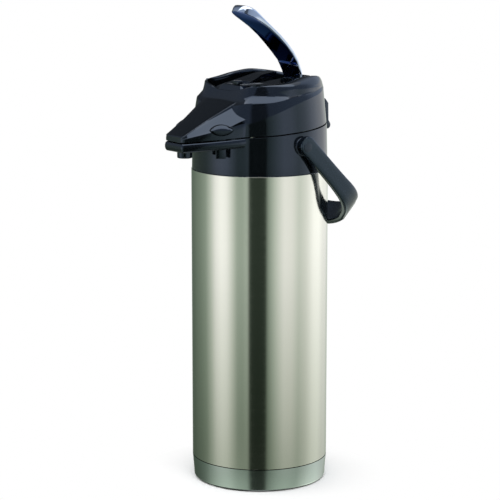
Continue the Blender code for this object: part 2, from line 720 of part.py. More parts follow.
def hood(name, inset, bottom):
    # loft from the nose to the drum: vertical sides, sloped panels and a flat top
    rise = (RIDGE_TOP - NOSE_TOP) / (NOSE_REACH - ROOT_REACH)
    nose_half = NOSE_HALF_WIDTH - inset / WALL_NORMAL.x + inset * WALL_SLOPE
    root_half = ROOT_HALF_WIDTH - inset / WALL_NORMAL.x
    ridge_half = RIDGE_HALF_WIDTH - inset
    nose_top = NOSE_TOP - inset + inset * rise
    ends = [(NOSE_REACH - inset, nose_half, nose_top - TOUCH, nose_half - TOUCH, nose_top)]
    ends += [(reach, root_half, CREASE_HEIGHT - inset / 2, ridge_half, RIDGE_TOP - inset)
             for reach in (ROOT_REACH, HOOD_TAIL)]
    sections = []
    for reach, half, crease, ridge, top in ends:
        right = [(half, -reach, bottom), (half, -reach, crease), (ridge, -reach, top)]
        sections.append(right + [(-x, y, z) for x, y, z in reversed(right)])
    return loft(name, sections)


def drum(name, inset, finish=None):
    low = SEAM_HEIGHT - COLLAR_SKIRT
    profile = [(0, LID_CROWN), (CROWN_RADIUS - inset, LID_CROWN), (LID_TOP_RADIUS - inset, DRUM_SHOULDER)]
    profile += [(LID_RADIUS - inset, SEAM_HEIGHT), (LID_RADIUS - inset, low - inset), (0, low - inset)]
    return turned(name, profile, finish)


def bay_outline(inset):
    half = BAY_HALF_WIDTH - inset
    radius = BAY_REAR_RADIUS - inset
    corner = math.degrees(math.acos(half / radius))
    front = inset - BAY_FRONT
    return [(-half, front), (half, front)] + arc((0, 0), radius, corner, 180 - corner, 2 * PAD_STEPS)


def post_places():
    spots = arc((0, 0), POST_CIRCLE, 45, 315, 3)
    return dict(zip(("rear_right", "rear_left", "front_left", "front_right"), spots))


def make_lid_shell():
    shell = drum("lid_shell", 0, finishes["black_plastic"])
    cavity = drum("lid_cavity", LID_WALL)
    cut(cavity, side_plate("roof_line", rim_outline(ROOF_WALL), REACH))
    join(shell, hood("hood_block", 0, SEAM_HEIGHT - COLLAR_SKIRT - TRAY_DEPTH))
    cut(shell, side_plate("rim_line", rim_outline(0), REACH), cavity)
    cut(shell, hood("hood_cavity", HOOD_WALL, SEAM_HEIGHT - 3 * COLLAR_SKIRT))
    cut(shell, plate("bay_opening", bay_outline(0), PAN_FLOOR, REACH * 2))
    for side in SIDES:
        cut(shell, pad_plate("pad_way_" + SIDE_NAMES[side], side, RUNNING_FIT, -REACH / 20, REACH / 20))
    for corner, (x, y) in post_places().items():
        foot = seam_at(y) + LID_BASE_HIGH + TOUCH + POST_RADIUS * SEAM_SLOPE
        join(shell, rod("post_" + corner, POST_RADIUS, (x, y, foot), (x, y, SEAM_HEIGHT + POST_RISE)))
        cut(shell, rod("pilot_" + corner, SCREW_RADIUS + TOUCH, (x, y, SEAM_HEIGHT - COLLAR_SKIRT),
                       (x, y, seam_at(y) + SCREW_LENGTH + TOUCH), facets=FACETS_SCREW))
    cut(shell, seam_block("below_seam", -REACH, SEAM_GAP / 2))


def lid_base_outline():
    # the round of the drum with the spout's floor in front
    draft = (LID_RADIUS - LID_TOP_RADIUS) / (DRUM_SHOULDER - SEAM_HEIGHT)
    rear_rise = SEAM_SLOPE * LID_RADIUS + LID_BASE_HIGH
    radius = LID_RADIUS - LID_WALL - draft * rear_rise - TOUCH
    tongue = beak(HOOD_WALL + TOUCH, HOOD_TAIL)
    half, nose = tongue[0]
    wide, root = tongue[1]
    angle = -math.degrees(math.acos(wide / radius))
    front = [(-wide, root), (-half, nose), (half, nose), (wide, root)]
    return arc((0, 0), radius, angle, 180 - angle, FACETS_LARGE) + front


def make_lid_base():
    base = on_seam(plate("lid_base", lid_base_outline(), SEAM_GAP, LID_BASE_HIGH, finishes["grey_plastic"]))
    air_hole = post("air_hole", AIR_HOLE_RADIUS, PLUNGER_BACK)
    cut(base, air_hole)
    cut(base, post("base_tube_hole", DELIVERY_RADIUS + RUNNING_FIT, -SIPHON_FORWARD))
    cut(base, post("base_spout_hole", NOZZLE_RADIUS, -NOZZLE_REACH))
    for side in SIDES:
        cut(base, bpy.data.objects["hook_way_" + SIDE_NAMES[side]])
    for corner, (x, y) in post_places().items():
        cut(base, bpy.data.objects["pilot_" + corner])
        end = seam_at(y) + SCREW_LENGTH
        head = seam_at(y) + SEAM_GAP - TOUCH - SCREW_HEAD * SEAM_SLOPE
        low = head - SCREW_HEAD_HEIGHT
        profile = [(0, end), (SCREW_RADIUS, end), (SCREW_RADIUS, head)]
        profile += [(SCREW_HEAD, head), (SCREW_HEAD, low), (0, low)]
        screw = turned("lid_screw_" + corner, profile, finishes["warm_steel"], FACETS_SCREW)
        screw.location = (x, y, 0)


def make_lid_plug():
    # a cup that presses the gasket and holds the air and coffee ways
    top = seam_at(PLUG_RADIUS) + COLLAR_SKIRT
    inside = PLUG_RADIUS - PLUG_WALL
    floor = PLUG_BOTTOM + PLUG_WALL
    profile = [(0, floor), (inside, floor), (inside, top)]
    profile += [(PLUG_RADIUS, top), (PLUG_RADIUS, PLUG_BOTTOM), (0, PLUG_BOTTOM)]
    plug = turned("lid_plug", profile, finishes["grey_plastic"])
    cut(plug, seam_block("plug_trim", SEAM_GAP - TOUCH, REACH))
    cut(plug, bpy.data.objects["air_hole"])
    cut(plug, post("plug_tube_hole", DELIVERY_RADIUS + TOUCH, -SIPHON_FORWARD))


# Coffee way through the lid


def make_delivery():
    crest = SEAM_HEIGHT + DELIVERY_RISE
    rise = arc((-SIPHON_FORWARD - DELIVERY_BEND, crest - DELIVERY_BEND), DELIVERY_BEND, 0, 90, CORNER_STEPS)
    floor = seam_at(-NOZZLE_REACH)
    over = floor + LID_BASE_HIGH + DELIVERY_RADIUS + 2 * RUNNING_FIT
    start = Vector((DELIVERY_BEND + 6 * RUNNING_FIT - NOZZLE_REACH, over + RUNNING_FIT))
    knee = Vector((-NOZZLE_REACH, over - RUNNING_FIT))
    end = Vector((-NOZZLE_REACH, floor - NOZZLE_FLANGE))
    drop = []
    for i in range(CORNER_STEPS + 1):
        t = i / CORNER_STEPS
        drop.append(start * (1 - t) ** 2 + knee * 2 * t * (1 - t) + end * t ** 2)
    path = [(-SIPHON_FORWARD, PLUG_BOTTOM + TOUCH)] + rise + [tuple(point) for point in drop]
    tube = pipe("delivery_tube", [(0, y, z) for y, z in path], DELIVERY_RADIUS, finishes["clear_plastic"])
    path[0] = (path[0][0], path[0][1] - DELIVERY_BEND)
    path.append((path[-1][0], path[-1][1] - DELIVERY_BEND))
    cut(tube, pipe("delivery_bore", [(0, y, z) for y, z in path], DELIVERY_BORE, smooth=1))
    flange_top = seam_at(-NOZZLE_REACH - NOZZLE_RADIUS - NOZZLE_FLANGE) + SEAM_GAP - TOUCH
    flange_low = flange_top - NOZZLE_FLANGE
    flange = NOZZLE_RADIUS + NOZZLE_FLANGE
    profile = [(NOZZLE_BORE, flange_top), (flange, flange_top), (flange, flange_low)]
    profile += [(NOZZLE_RADIUS, flange_low), (NOZZLE_RADIUS, NOZZLE_BOTTOM), (NOZZLE_BORE, NOZZLE_BOTTOM)]
    nozzle = turned("spout_nozzle", profile, finishes["black_plastic"], FACETS_MEDIUM, closed=True)
    nozzle.location = (0, -NOZZLE_REACH, 0)


# Lid latches


def on_wall(item, side):
    # local x runs along the hood's side wall, y up and z out of the wall
    run = WALL_RUN.normalized()
    along = Vector((run.x, side * run.y, 0))
    out = Vector((side * WALL_NORMAL.x, WALL_NORMAL.y, 0))
    place = wall_point(side)
    columns = (along, Vector((0, 0, 1)), out)
    turn = Matrix([[column[row] for column in columns] for row in range(3)]).to_4x4()
    item.data.transform(Matrix.Translation(place) @ turn)
    return item


def wall_point(side):
    half = NOSE_HALF_WIDTH + LATCH_SETBACK * WALL_SLOPE
    return Vector((side * half, -LATCH_FORWARD, LATCH_HEIGHT))


def pad_plate(name, side, grow, low, high):
    # a leaf between two arcs, pointed at both ends
    half = PAD_LENGTH / 2 + 2 * grow
    crown = PAD_HEIGHT / 2 + grow
    radius = (half ** 2 + crown ** 2) / (2 * crown)
    span = math.degrees(math.asin(half / radius))
    upper = arc((0, crown - radius), radius, 90 - span, 90 + span, 2 * PAD_STEPS)
    lower = [(-x, -y) for x, y in upper[1:-1]]
    return on_wall(plate(name, upper + lower, low, high), side)


def along_wall(side, front, rear):
    # the low and high ends along the wall, whose local x runs to the rear on the right side only
    return (-front, rear) if side > 0 else (-rear, front)


def hook_way(side):
    # room in the tray and the lid base for the hook to travel and to swing out with the lid
    low, high = along_wall(side, HOOK_FRONT + HOOK_SWING, HOOK_REAR + HOOK_SWING)
    under = seam_at(-LATCH_FORWARD) - TRAY_DEPTH - TRAY_WALL - LATCH_HEIGHT
    back = -PAD_DEPTH - HOOK_WALL - LATCH_TRAVEL - RUNNING_FIT
    way = box("hook_way_" + SIDE_NAMES[side], (low, under, back), (high, 0, HOOK_SWING / 2 - PAD_DEPTH))
    return on_wall(way, side)


def make_latches():
    for side in SIDES:
        name = SIDE_NAMES[side]
        low, high = along_wall(side, HOOK_FRONT, HOOK_REAR)
        hook = box("lid_latch_" + name, (low, HOOK_BOTTOM - LATCH_HEIGHT, -PAD_DEPTH - HOOK_WALL),
                   (high, PAD_HEIGHT / 3, -PAD_DEPTH), finishes["black_plastic"])
        on_wall(hook, side)
        join(hook, pad_plate("pad_" + name, side, 0, -PAD_DEPTH - HOOK_WALL / 2, PAD_PROUD))
        move_origin(hook, wall_point(side))


# Lever bay


def deck_outline(drop, front, low):
    # side view of the deck: a nose, a land for the lock, a crown and a fall to the rear
    crown = -LOCK_FORWARD + LOCK_LENGTH
    land = (-LOCK_FORWARD + LOCK_WIDTH, -LOCK_FORWARD - LOCK_WIDTH / 2 - RUNNING_FIT)
    line = [(DECK_REAR - drop, DECK_NOSE_RISE), (SLOT_FRONT, DECK_RISE), (crown, DECK_RISE)]
    line += [(land[0], LOCK_RISE), (land[1], LOCK_RISE), (-front, DECK_NOSE_RISE)]
    return [(y, SEAM_HEIGHT + rise - drop) for y, rise in line] + [(-front, low), (DECK_REAR - drop, low)]


def make_bay_pan():
    finish = finishes["black_plastic"]
    pan = plate("bay_pan", bay_outline(TOUCH), PAN_FLOOR, LID_CROWN, finish)
    hollow = plate("pan_hollow", bay_outline(TOUCH + PAN_WALL), PAN_FLOOR + PAN_WALL, REACH * 2)
    cut(pan, hollow, side_plate("pan_rim", rim_outline(ROOF_WALL / 4), REACH))
    front = BAY_FRONT - PAN_WALL
    deck = deck_outline(0, front, PAN_FLOOR + PAN_WALL / 2)
    under = deck_outline(DECK_WALL, front - DECK_WALL, PAN_FLOOR - PAN_WALL)
    join(pan, side_plate("deck_block", deck, DECK_HALF_WIDTH))
    cut(pan, side_plate("deck_hollow", under, DECK_HALF_WIDTH - DECK_WALL))
    cut(pan, box("lever_slot", (-SLOT_HALF_WIDTH, SLOT_FRONT, SEAM_HEIGHT),
                 (SLOT_HALF_WIDTH, BAY_REAR_RADIUS, REACH * 2)))
    stem = LOCK_STEM / 2 + RUNNING_FIT
    cut(pan, box("lock_slot", (LOCK_SIDE - LOCK_TRAVEL - stem, -LOCK_FORWARD - stem, SEAM_HEIGHT),
                 (LOCK_SIDE + stem, stem - LOCK_FORWARD, REACH * 2)))


def make_lock_slider():
    low = LOCK_LAND + TOUCH
    half = (LOCK_LENGTH / 2, LOCK_WIDTH / 2)
    slider = box("lock_slider", (LOCK_SIDE - half[0], -LOCK_FORWARD - half[1], low),
                 (LOCK_SIDE + half[0], half[1] - LOCK_FORWARD, low + LOCK_HEIGHT), finishes["black_plastic"])
    stem = LOCK_STEM / 2
    under = LOCK_LAND - DECK_WALL - TOUCH
    join(slider, box("lock_stem", (LOCK_SIDE - stem, -LOCK_FORWARD - stem, under - LOCK_FOOT / 2),
                     (LOCK_SIDE + stem, stem - LOCK_FORWARD, low + LOCK_HEIGHT / 2)))
    join(slider, box("lock_foot", (LOCK_SIDE - half[0], -LOCK_FORWARD - half[1], under - LOCK_FOOT),
                     (LOCK_SIDE + half[0], half[1] - LOCK_FORWARD, under)))
    move_origin(slider, (LOCK_SIDE, -LOCK_FORWARD, low))


# Pump lever


def bow(start, end, sag):
    # points on a shallow bow between two places in the side view, bulging to its left
    start, end = Vector(start), Vector(end)
    run = end - start
    left = Vector((-run.y, run.x)).normalized()
    shares = [i / LEVER_BOW_STEPS for i in range(LEVER_BOW_STEPS + 1)]
    return [tuple(start + run * t + left * sag * 4 * t * (1 - t)) for t in shares]


def lever_lines():
    # rear edge from the thumb pad to the shank, and the front edge back up, both bowed to the rear
    neck = Vector((THUMB_PAD_LENGTH - LEVER_TIP_FORWARD, LEVER_TIP_TOP - THUMB_PAD_DEPTH))
    shank = Vector((LEVER_PIVOT_BACK - LEVER_LEAN, LEVER_PIVOT_HEIGHT + LEVER_SHANK))
    run = (shank - neck).normalized()
    depth = Vector((-run.y, run.x)) * LEVER_DEPTH / 2
    return bow(neck + depth, shank + depth, LEVER_BOW), bow(shank - depth, neck - depth, -LEVER_BOW)


def make_lever():
    pivot = (LEVER_PIVOT_BACK, LEVER_PIVOT_HEIGHT)
    rear, front = lever_lines()
    tip_y = -LEVER_TIP_FORWARD
    low = LEVER_TIP_TOP - THUMB_PAD_DEPTH
    notch = (rear[0][0] - THUMB_NOTCH / 4, rear[0][1] + THUMB_NOTCH / 2)
    pad_end = tip_y + THUMB_PAD_LENGTH - THUMB_NOTCH / 2
    pad = [(tip_y + THUMB_PAD_DEPTH / 4, low), (tip_y, LEVER_TIP_TOP - THUMB_PAD_DEPTH / 2)]
    pad += [(tip_y + THUMB_PAD_DEPTH / 3, LEVER_TIP_TOP), (pad_end, LEVER_TIP_TOP)]
    eye = arc(pivot, LEVER_EYE, 0, -180, 2 * CORNER_STEPS)
    lever = side_plate("pump_lever", rear + eye + front + pad + [notch], LEVER_HALF_WIDTH, finishes["chrome"])
    skin = Vector((LEVER_SKIN, LEVER_SKIN)) / math.sqrt(2)
    inner = [tuple(Vector(point) - skin) for point in rear[1:]]
    outer = [tuple(Vector(point) - 3 * skin) for point in front[:-1]]
    low_end = LEVER_PIVOT_HEIGHT - 2 * LEVER_EYE
    past = LEVER_PIVOT_BACK + 2 * LEVER_EYE
    channel = inner + [(LEVER_PIVOT_BACK + LEVER_EYE - LEVER_SKIN, LEVER_PIVOT_HEIGHT + LEVER_EYE)]
    channel += [(past, LEVER_PIVOT_HEIGHT + LEVER_EYE), (past, low_end), (outer[0][0], low_end)] + outer
    cut(lever, side_plate("lever_channel", channel, LEVER_HALF_WIDTH - LEVER_WALL))
    cut(lever, pin_hole("lever_pin_hole"))
    move_origin(lever, (0, LEVER_PIVOT_BACK, LEVER_PIVOT_HEIGHT))


def pin_hole(name):
    return rod(name, LEVER_PIN_RADIUS + TOUCH, (-REACH, LEVER_PIVOT_BACK, LEVER_PIVOT_HEIGHT),
               (REACH, LEVER_PIVOT_BACK, LEVER_PIVOT_HEIGHT))


def make_lever_mount():
    pin_end = LEVER_HALF_WIDTH + RUNNING_FIT + BRACKET_WALL
    rod("lever_pin", LEVER_PIN_RADIUS, (-pin_end, LEVER_PIVOT_BACK, LEVER_PIVOT_HEIGHT),
        (pin_end, LEVER_PIVOT_BACK, LEVER_PIVOT_HEIGHT), finishes["warm_steel"])
    half = BRACKET_HALF_LENGTH
    for side in SIDES:
        outline = arc((LEVER_PIVOT_BACK, LEVER_PIVOT_HEIGHT), half, 0, 180, 2 * CORNER_STEPS)
        outline += [(LEVER_PIVOT_BACK - half, SEAM_HEIGHT), (LEVER_PIVOT_BACK + half, SEAM_HEIGHT)]
        bracket = side_plate("lever_bracket_" + SIDE_NAMES[side], outline, BRACKET_WALL / 2,
                             finishes["grey_plastic"], side * (pin_end - BRACKET_WALL / 2))
        cut(bracket, pin_hole("bracket_hole_" + SIDE_NAMES[side]),
            seam_block("bracket_trim_" + SIDE_NAMES[side], -REACH, LID_BASE_HIGH + TOUCH))


def make_lever_crank():
    # the arched foot that turns with the lever, reaches over the bellows and presses the plunger
    pivot = Vector((LEVER_PIVOT_BACK, LEVER_PIVOT_HEIGHT))
    nose = Vector((PLUNGER_BACK, CRANK_REST_HEIGHT))
    eye = LEVER_EYE - LEVER_WALL
    outline = arc(pivot, eye, -90, 90, CORNER_STEPS) + [(pivot.x - eye / 2, nose.y + CRANK_NOSE)]
    outline += arc(nose, CRANK_NOSE, 90, 315, CORNER_STEPS)
    outline += [(pivot.x - 2 * eye, nose.y)] + arc(pivot, eye, 180, 255, CORNER_STEPS)
    crank = side_plate("lever_crank", outline, CRANK_HALF_WIDTH, finishes["grey_plastic"])
    cut(crank, pin_hole("crank_pin_hole"))
    move_origin(crank, (0, LEVER_PIVOT_BACK, LEVER_PIVOT_HEIGHT))


# Bellows pump


def make_bellows_pump():
    place = (0, PLUNGER_BACK, 0)
    seat = ring("bellows_seat", AIR_HOLE_RADIUS + PLUG_WALL, BELLOWS_RADIUS, SEAM_HEIGHT, BELLOWS_SEAT_TOP,
                finishes["grey_plastic"], FACETS_MEDIUM)
    seat.location = place
    cut(seat, seam_block("seat_trim", -REACH, LID_BASE_HIGH + TOUCH))
    low = BELLOWS_SEAT_TOP + TOUCH
    steps = 2 * BELLOWS_FOLDS
    outer = []
    for i in range(steps + 1):
        radius = BELLOWS_ROOT if i % 2 == 0 else BELLOWS_RADIUS
        outer.append((radius, BELLOWS_TOP + (low - BELLOWS_TOP) * i / steps))
    inner = [(radius - BELLOWS_WALL, z) for radius, z in reversed(outer)]
    bellows = turned("pump_bellows", outer + inner, finishes["grey_rubber"], FACETS_MEDIUM, closed=True)
    bellows.location = place
    under = PLUNGER_TOP - PLUNGER_WALL
    disc = [(0, PLUNGER_TOP), (BELLOWS_ROOT, PLUNGER_TOP), (BELLOWS_ROOT, under), (0, under)]
    plunger = turned("pump_plunger", disc, finishes["grey_plastic"], FACETS_MEDIUM)
    plunger.location = place
    valve = on_seam(ring("air_valve", SIPHON_BORE, AIR_HOLE_RADIUS + PLUG_WALL / 2, LID_BASE_HIGH + TOUCH,
                         LID_BASE_HIGH + TOUCH + VALVE_WALL, finishes["grey_rubber"], FACETS_SMALL))
    valve.location = (0, PLUNGER_BACK, seam_at(PLUNGER_BACK))
    make_pump_spring(low + SPRING_WIRE + TOUCH, BELLOWS_TOP - SPRING_WIRE - TOUCH)


def make_pump_spring(low, high):
    count = SPRING_TURNS * SPRING_POINTS
    points = []
    for i in range(count + 1):
        angle = 2 * math.pi * i / SPRING_POINTS
        points.append(Vector((SPRING_RADIUS * math.cos(angle), PLUNGER_BACK + SPRING_RADIUS * math.sin(angle),
                              low + (high - low) * i / count)))
    apart = [(a - b).length for n, a in enumerate(points) for b in points[n + SPRING_POINTS // 2:]]
    print("pump_spring least gap to itself, mm:", round((min(apart) - 2 * SPRING_WIRE) * 1000, 2))
    pipe("pump_spring", points, SPRING_WIRE, finishes["warm_steel"], smooth=1)


# Carriers on the joint axes


def carry(name, place, children, parent=None):
    # an empty on a joint axis that its moving pieces follow
    axis = bpy.data.objects.new(name, None)
    axis.empty_display_size = PLUG_WALL
    parts.objects.link(axis)
    axis.location = place
    bpy.context.view_layer.update()
    if parent:
        axis.parent = parent
        axis.matrix_parent_inverse = parent.matrix_world.inverted()
    bpy.context.view_layer.update()
    for child in children:
        item = bpy.data.objects[child]
        item.parent = axis
        item.matrix_parent_inverse = axis.matrix_world.inverted()
    return axis


def make_carriers():
    screws = ["lid_screw_" + corner for corner in post_places()]
    fixed = ["lid_shell", "lid_base", "lid_plug", "bay_pan", "hinge_strap", "spout_nozzle", "delivery_tube"]
    fixed += ["bellows_seat", "pump_bellows", "pump_spring", "air_valve", "lever_pin"]
    fixed += ["lever_bracket_left", "lever_bracket_right"] + screws
    lid = carry("lid_axis", (0, HINGE_BACK, HINGE_HEIGHT), fixed)
    carry("lever_axis", (0, LEVER_PIVOT_BACK, LEVER_PIVOT_HEIGHT), ["pump_lever", "lever_crank"], lid)
    carry("plunger_axis", (0, PLUNGER_BACK, PLUNGER_TOP), ["pump_plunger"], lid)
    carry("lock_axis", (LOCK_SIDE, -LOCK_FORWARD, LOCK_LAND), ["lock_slider"], lid)
    for side in SIDES:
        carry("latch_axis_" + SIDE_NAMES[side], wall_point(side), ["lid_latch_" + SIDE_NAMES[side]], lid)
    carry("bail_axis", (0, 0, BAIL_PIVOT_HEIGHT), ["bail_handle"])


clear_scene()
parts = make_collection(PARTS)
cutters = make_collection(CUTTERS)
finishes = {
    "warm_steel": make_material("brushed_steel_warm", (0.52, 0.52, 0.48), 0.30, 1.0),
    "cool_steel": make_material("brushed_steel_cool", (0.50, 0.53, 0.56), 0.30, 1.0),
    "chrome": make_material("chrome_plate", (0.80, 0.82, 0.86), 0.06, 1.0),
    "black_plastic": make_material("black_gloss_plastic", (0.012, 0.013, 0.016), 0.22, 0.0),
    "matte_black": make_material("black_satin_plastic", (0.016, 0.018, 0.022), 0.45, 0.0),
    "grey_plastic": make_material("grey_moulding", (0.20, 0.21, 0.22), 0.50, 0.0),
    "clear_plastic": make_material("clear_tube", (0.70, 0.72, 0.72), 0.20, 0.0),
    "black_rubber": make_material("black_rubber", (0.02, 0.02, 0.02), 0.80, 0.0),
    "grey_rubber": make_material("grey_silicone", (0.45, 0.46, 0.46), 0.60, 0.0),
}
make_foot_pad()
make_base_cap()
make_base_ring()
make_outer_shell()
make_flask_cushion()
make_flask()
make_neck_ring()
make_neck_gasket()
make_siphon()
make_collar()
make_hinge()
make_bail()
make_lid_shell()
make_lid_base()
make_lid_plug()
make_delivery()
make_latches()
make_bay_pan()
make_lock_slider()
make_lever()
make_lever_mount()
make_lever_crank()
make_bellows_pump()
make_carriers()
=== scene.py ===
import math

import bmesh
import bpy
from mathutils import Matrix, Vector


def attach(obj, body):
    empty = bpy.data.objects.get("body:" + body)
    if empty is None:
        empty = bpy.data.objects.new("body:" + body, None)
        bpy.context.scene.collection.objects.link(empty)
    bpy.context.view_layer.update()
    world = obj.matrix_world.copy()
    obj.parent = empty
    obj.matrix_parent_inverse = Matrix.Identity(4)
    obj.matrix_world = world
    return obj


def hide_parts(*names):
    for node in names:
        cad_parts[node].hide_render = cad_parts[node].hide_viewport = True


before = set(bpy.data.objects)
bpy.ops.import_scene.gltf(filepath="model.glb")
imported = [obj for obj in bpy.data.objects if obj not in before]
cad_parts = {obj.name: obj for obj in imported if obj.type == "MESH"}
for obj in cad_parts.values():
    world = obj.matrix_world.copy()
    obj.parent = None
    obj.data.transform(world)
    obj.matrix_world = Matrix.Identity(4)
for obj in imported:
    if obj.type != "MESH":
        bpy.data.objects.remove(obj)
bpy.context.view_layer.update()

scene = bpy.context.scene

# Lengths in the dictionaries are millimetres; finishPiece brings each piece to metres.


def linear(code):  # sRGB hex to a linear colour
    parts = [int(code[i:i + 2], 16) / 255 for i in (1, 3, 5)]
    return tuple(c / 12.92 if c <= 0.04045 else ((c + 0.055) / 1.055) ** 2.4 for c in parts) + (1.0,)


def addNode(tree, kind, settings=None, links=None):  # one shader node, its settings and what feeds it
    node = tree.nodes.new("ShaderNode" + kind)
    for key, value in (settings or {}).items():
        if key in node.bl_rna.properties.keys():
            setattr(node, key, value)
        else:
            node.inputs[key].default_value = value
    for key, source in (links or {}).items():
        tree.links.new(source, node.inputs[key])
    return node


def newMaterial(name, settings):  # a material with one Principled shader
    material = bpy.data.materials.new(name)
    material.use_nodes = True
    tree = material.node_tree
    shader = tree.nodes["Principled BSDF"]
    for key, value in settings.items():
        shader.inputs[key].default_value = value
    return material, tree, shader


greenTint = dict(red=0.28, redFade=0.3, blue=0.24, blueFade=0.24)  # what a dark grey loses


def setRamp(node, stops, green=0.0):  # stops are (degrees, linear grey); green tints the dim ones
    ramp = node.color_ramp
    while len(ramp.elements) < len(stops):
        ramp.elements.new(0.5)
    for element, (degrees, grey) in zip(ramp.elements, stops):
        red = max(greenTint["red"] - greenTint["redFade"] * grey, 0.0)
        blue = max(greenTint["blue"] - greenTint["blueFade"] * grey, 0.0)
        element.position = (degrees + 180) / 360
        element.color = (grey * (1 - green * red), grey, grey * (1 - green * blue), 1.0)


def brushedMetal(name, colour, roughness, pitch):  # fine turned lines round the pot, drawn coarser than life
    material, tree, shader = newMaterial(name, {"Base Color": linear(colour), "Metallic": 1.0,
                                                "Roughness": roughness})
    place = addNode(tree, "TexCoord")
    scale = (14.0, 14.0, 1000.0 / pitch)  # lines about 70 mm long, one pitch apart
    stretch = addNode(tree, "Mapping", {"Scale": scale}, {"Vector": place.outputs["Object"]})
    lines = addNode(tree, "TexNoise", {"Scale": 1.0, "Detail": 3.0, "Roughness": 0.6},
                    {"Vector": stretch.outputs["Vector"]})
    rough = addNode(tree, "MapRange", {"To Min": roughness - 0.05, "To Max": roughness + 0.07},
                    {"Value": lines.outputs["Fac"]})
    bump = addNode(tree, "Bump", {"Strength": 0.05, "Distance": 0.0001}, {"Height": lines.outputs["Fac"]})
    tree.links.new(rough.outputs["Result"], shader.inputs["Roughness"])
    tree.links.new(bump.outputs["Normal"], shader.inputs["Normal"])
    return material


def plastic(name, colour, roughness, grain, strength, more=None):  # moulded, its finish a little uneven
    settings = {"Base Color": linear(colour), "Roughness": roughness, **(more or {})}
    material, tree, shader = newMaterial(name, settings)
    place = addNode(tree, "TexCoord")
    noise = addNode(tree, "TexNoise", {"Scale": 1000.0 / grain, "Detail": 3.0},
                    {"Vector": place.outputs["Object"]})
    rough = addNode(tree, "MapRange", {"To Min": roughness * 0.85, "To Max": roughness * 1.2},
                    {"Value": noise.outputs["Fac"]})
    bump = addNode(tree, "Bump", {"Strength": strength, "Distance": 0.0002}, {"Height": noise.outputs["Fac"]})
    tree.links.new(rough.outputs["Result"], shader.inputs["Roughness"])
    tree.links.new(bump.outputs["Normal"], shader.inputs["Normal"])
    return material


# brushed stainless steel: soft vertical bands of light, a little warm and green
steelWarm = brushedMetal("brushed_stainless_warm", "#e0e1d7", 0.13, 0.9)
# brushed stainless steel of the base: the same bands, a little bluer and duller
steelCool = brushedMetal("brushed_stainless_cool", "#cdd7d6", 0.16, 0.9)
# polished chrome plate: near-mirror, sharp dark and light shapes
chrome = newMaterial("chrome_plate", {"Base Color": linear("#cdd9ee"), "Metallic": 1.0, "Roughness": 0.06})[0]
# chrome of the lever's hollow front with painted shade: a dark navy copy of the chrome that stands in for
# dark reflections
chromePaintedShade = newMaterial("chrome_plate_painted_shade", {"Base Color": linear("#4e5f94"), "Metallic": 1.0,
                                                 "Roughness": 0.07, "Specular Tint": linear("#a4b4e0")})[0]
# glossy black ABS: near black with clear grey-blue reflections
blackGloss = plastic("black_gloss_abs", "#06080a", 0.07, 9.0, 0.01,
                     {"IOR": 1.66, "Specular Tint": linear("#c8deff")})
# satin black polypropylene of the bail: broad soft sheen
blackSatin = plastic("black_satin_polypropylene", "#080d13", 0.18, 1.6, 0.04,
                     {"IOR": 1.7, "Specular Tint": linear("#bcdaf8")})
# grey polypropylene mouldings inside the lid: dull mid grey
greyMoulding = plastic("grey_polypropylene", "#75797d", 0.45, 2.0, 0.06)
# black rubber foot: no shine
rubber = plastic("black_rubber", "#141414", 0.75, 1.2, 0.15)
# grey silicone seals: soft and slightly shiny
silicone = plastic("grey_silicone", "#9a9d9c", 0.5, 2.0, 0.04)
# clear polypropylene tubes: milky, half see-through
clearTube = newMaterial("clear_polypropylene", {"Base Color": linear("#e4e8ea"), "Roughness": 0.25,
                                                "Transmission Weight": 0.75, "IOR": 1.49})[0]
# painted shade in the joint of body and base: near black, no shine
seamShade = plastic("painted_seam_shade", "#040405", 0.8, 3.0, 0.0, {"Specular IOR Level": 0.1})
print("materials made")


def rounded(points, steps=6):  # (r, z) or (r, z, fillet) corners to a smooth run of points
    run = []
    for k, corner in enumerate(points):
        here = Vector((corner[0], 0.0, corner[1]))
        fillet = corner[2] if len(corner) > 2 else 0.0
        if not fillet:
            run.append(here)
            continue
        back = Vector((points[k - 1][0], 0.0, points[k - 1][1])) - here
        ahead = Vector((points[(k + 1) % len(points)][0], 0.0, points[(k + 1) % len(points)][1])) - here
        half = back.angle(ahead) / 2
        back.normalize()
        ahead.normalize()
        centre = here + (back + ahead).normalized() * fillet / math.sin(half)
        first = here + back * fillet / math.tan(half) - centre
        last = here + ahead * fillet / math.tan(half) - centre
        run += [centre + first.slerp(last, i / steps) * fillet for i in range(steps + 1)]
    return run


def lathe(points, steps=144):  # a closed profile turned about Z
    bm = bmesh.new()
    verts = [bm.verts.new(p) for p in rounded(points)]
    edges = [bm.edges.new(pair) for pair in zip(verts, verts[1:] + verts[:1])]
    bmesh.ops.spin(bm, geom=verts + edges, cent=(0, 0, 0), axis=(0, 0, 1), angle=math.tau, steps=steps,
                   use_merge=True)
    bmesh.ops.remove_doubles(bm, verts=bm.verts, dist=1e-4)
    bmesh.ops.recalc_face_normals(bm, faces=bm.faces)
    return bm


def sheetOf(sections, capped=False):  # a grid laid over rows of points
    rows, columns = len(sections), len(sections[0])
    bm = bmesh.new()
    bmesh.ops.create_grid(bm, x_segments=columns - 1, y_segments=rows - 1, size=1)
    for v in bm.verts:
        v.co = sections[round((v.co.y + 1) / 2 * (rows - 1))][round((v.co.x + 1) / 2 * (columns - 1))]
    bmesh.ops.remove_doubles(bm, verts=bm.verts, dist=1e-3)
    if capped:
        bmesh.ops.holes_fill(bm, edges=[e for e in bm.edges if e.is_boundary])
    bmesh.ops.recalc_face_normals(bm, faces=bm.faces)
    return bm


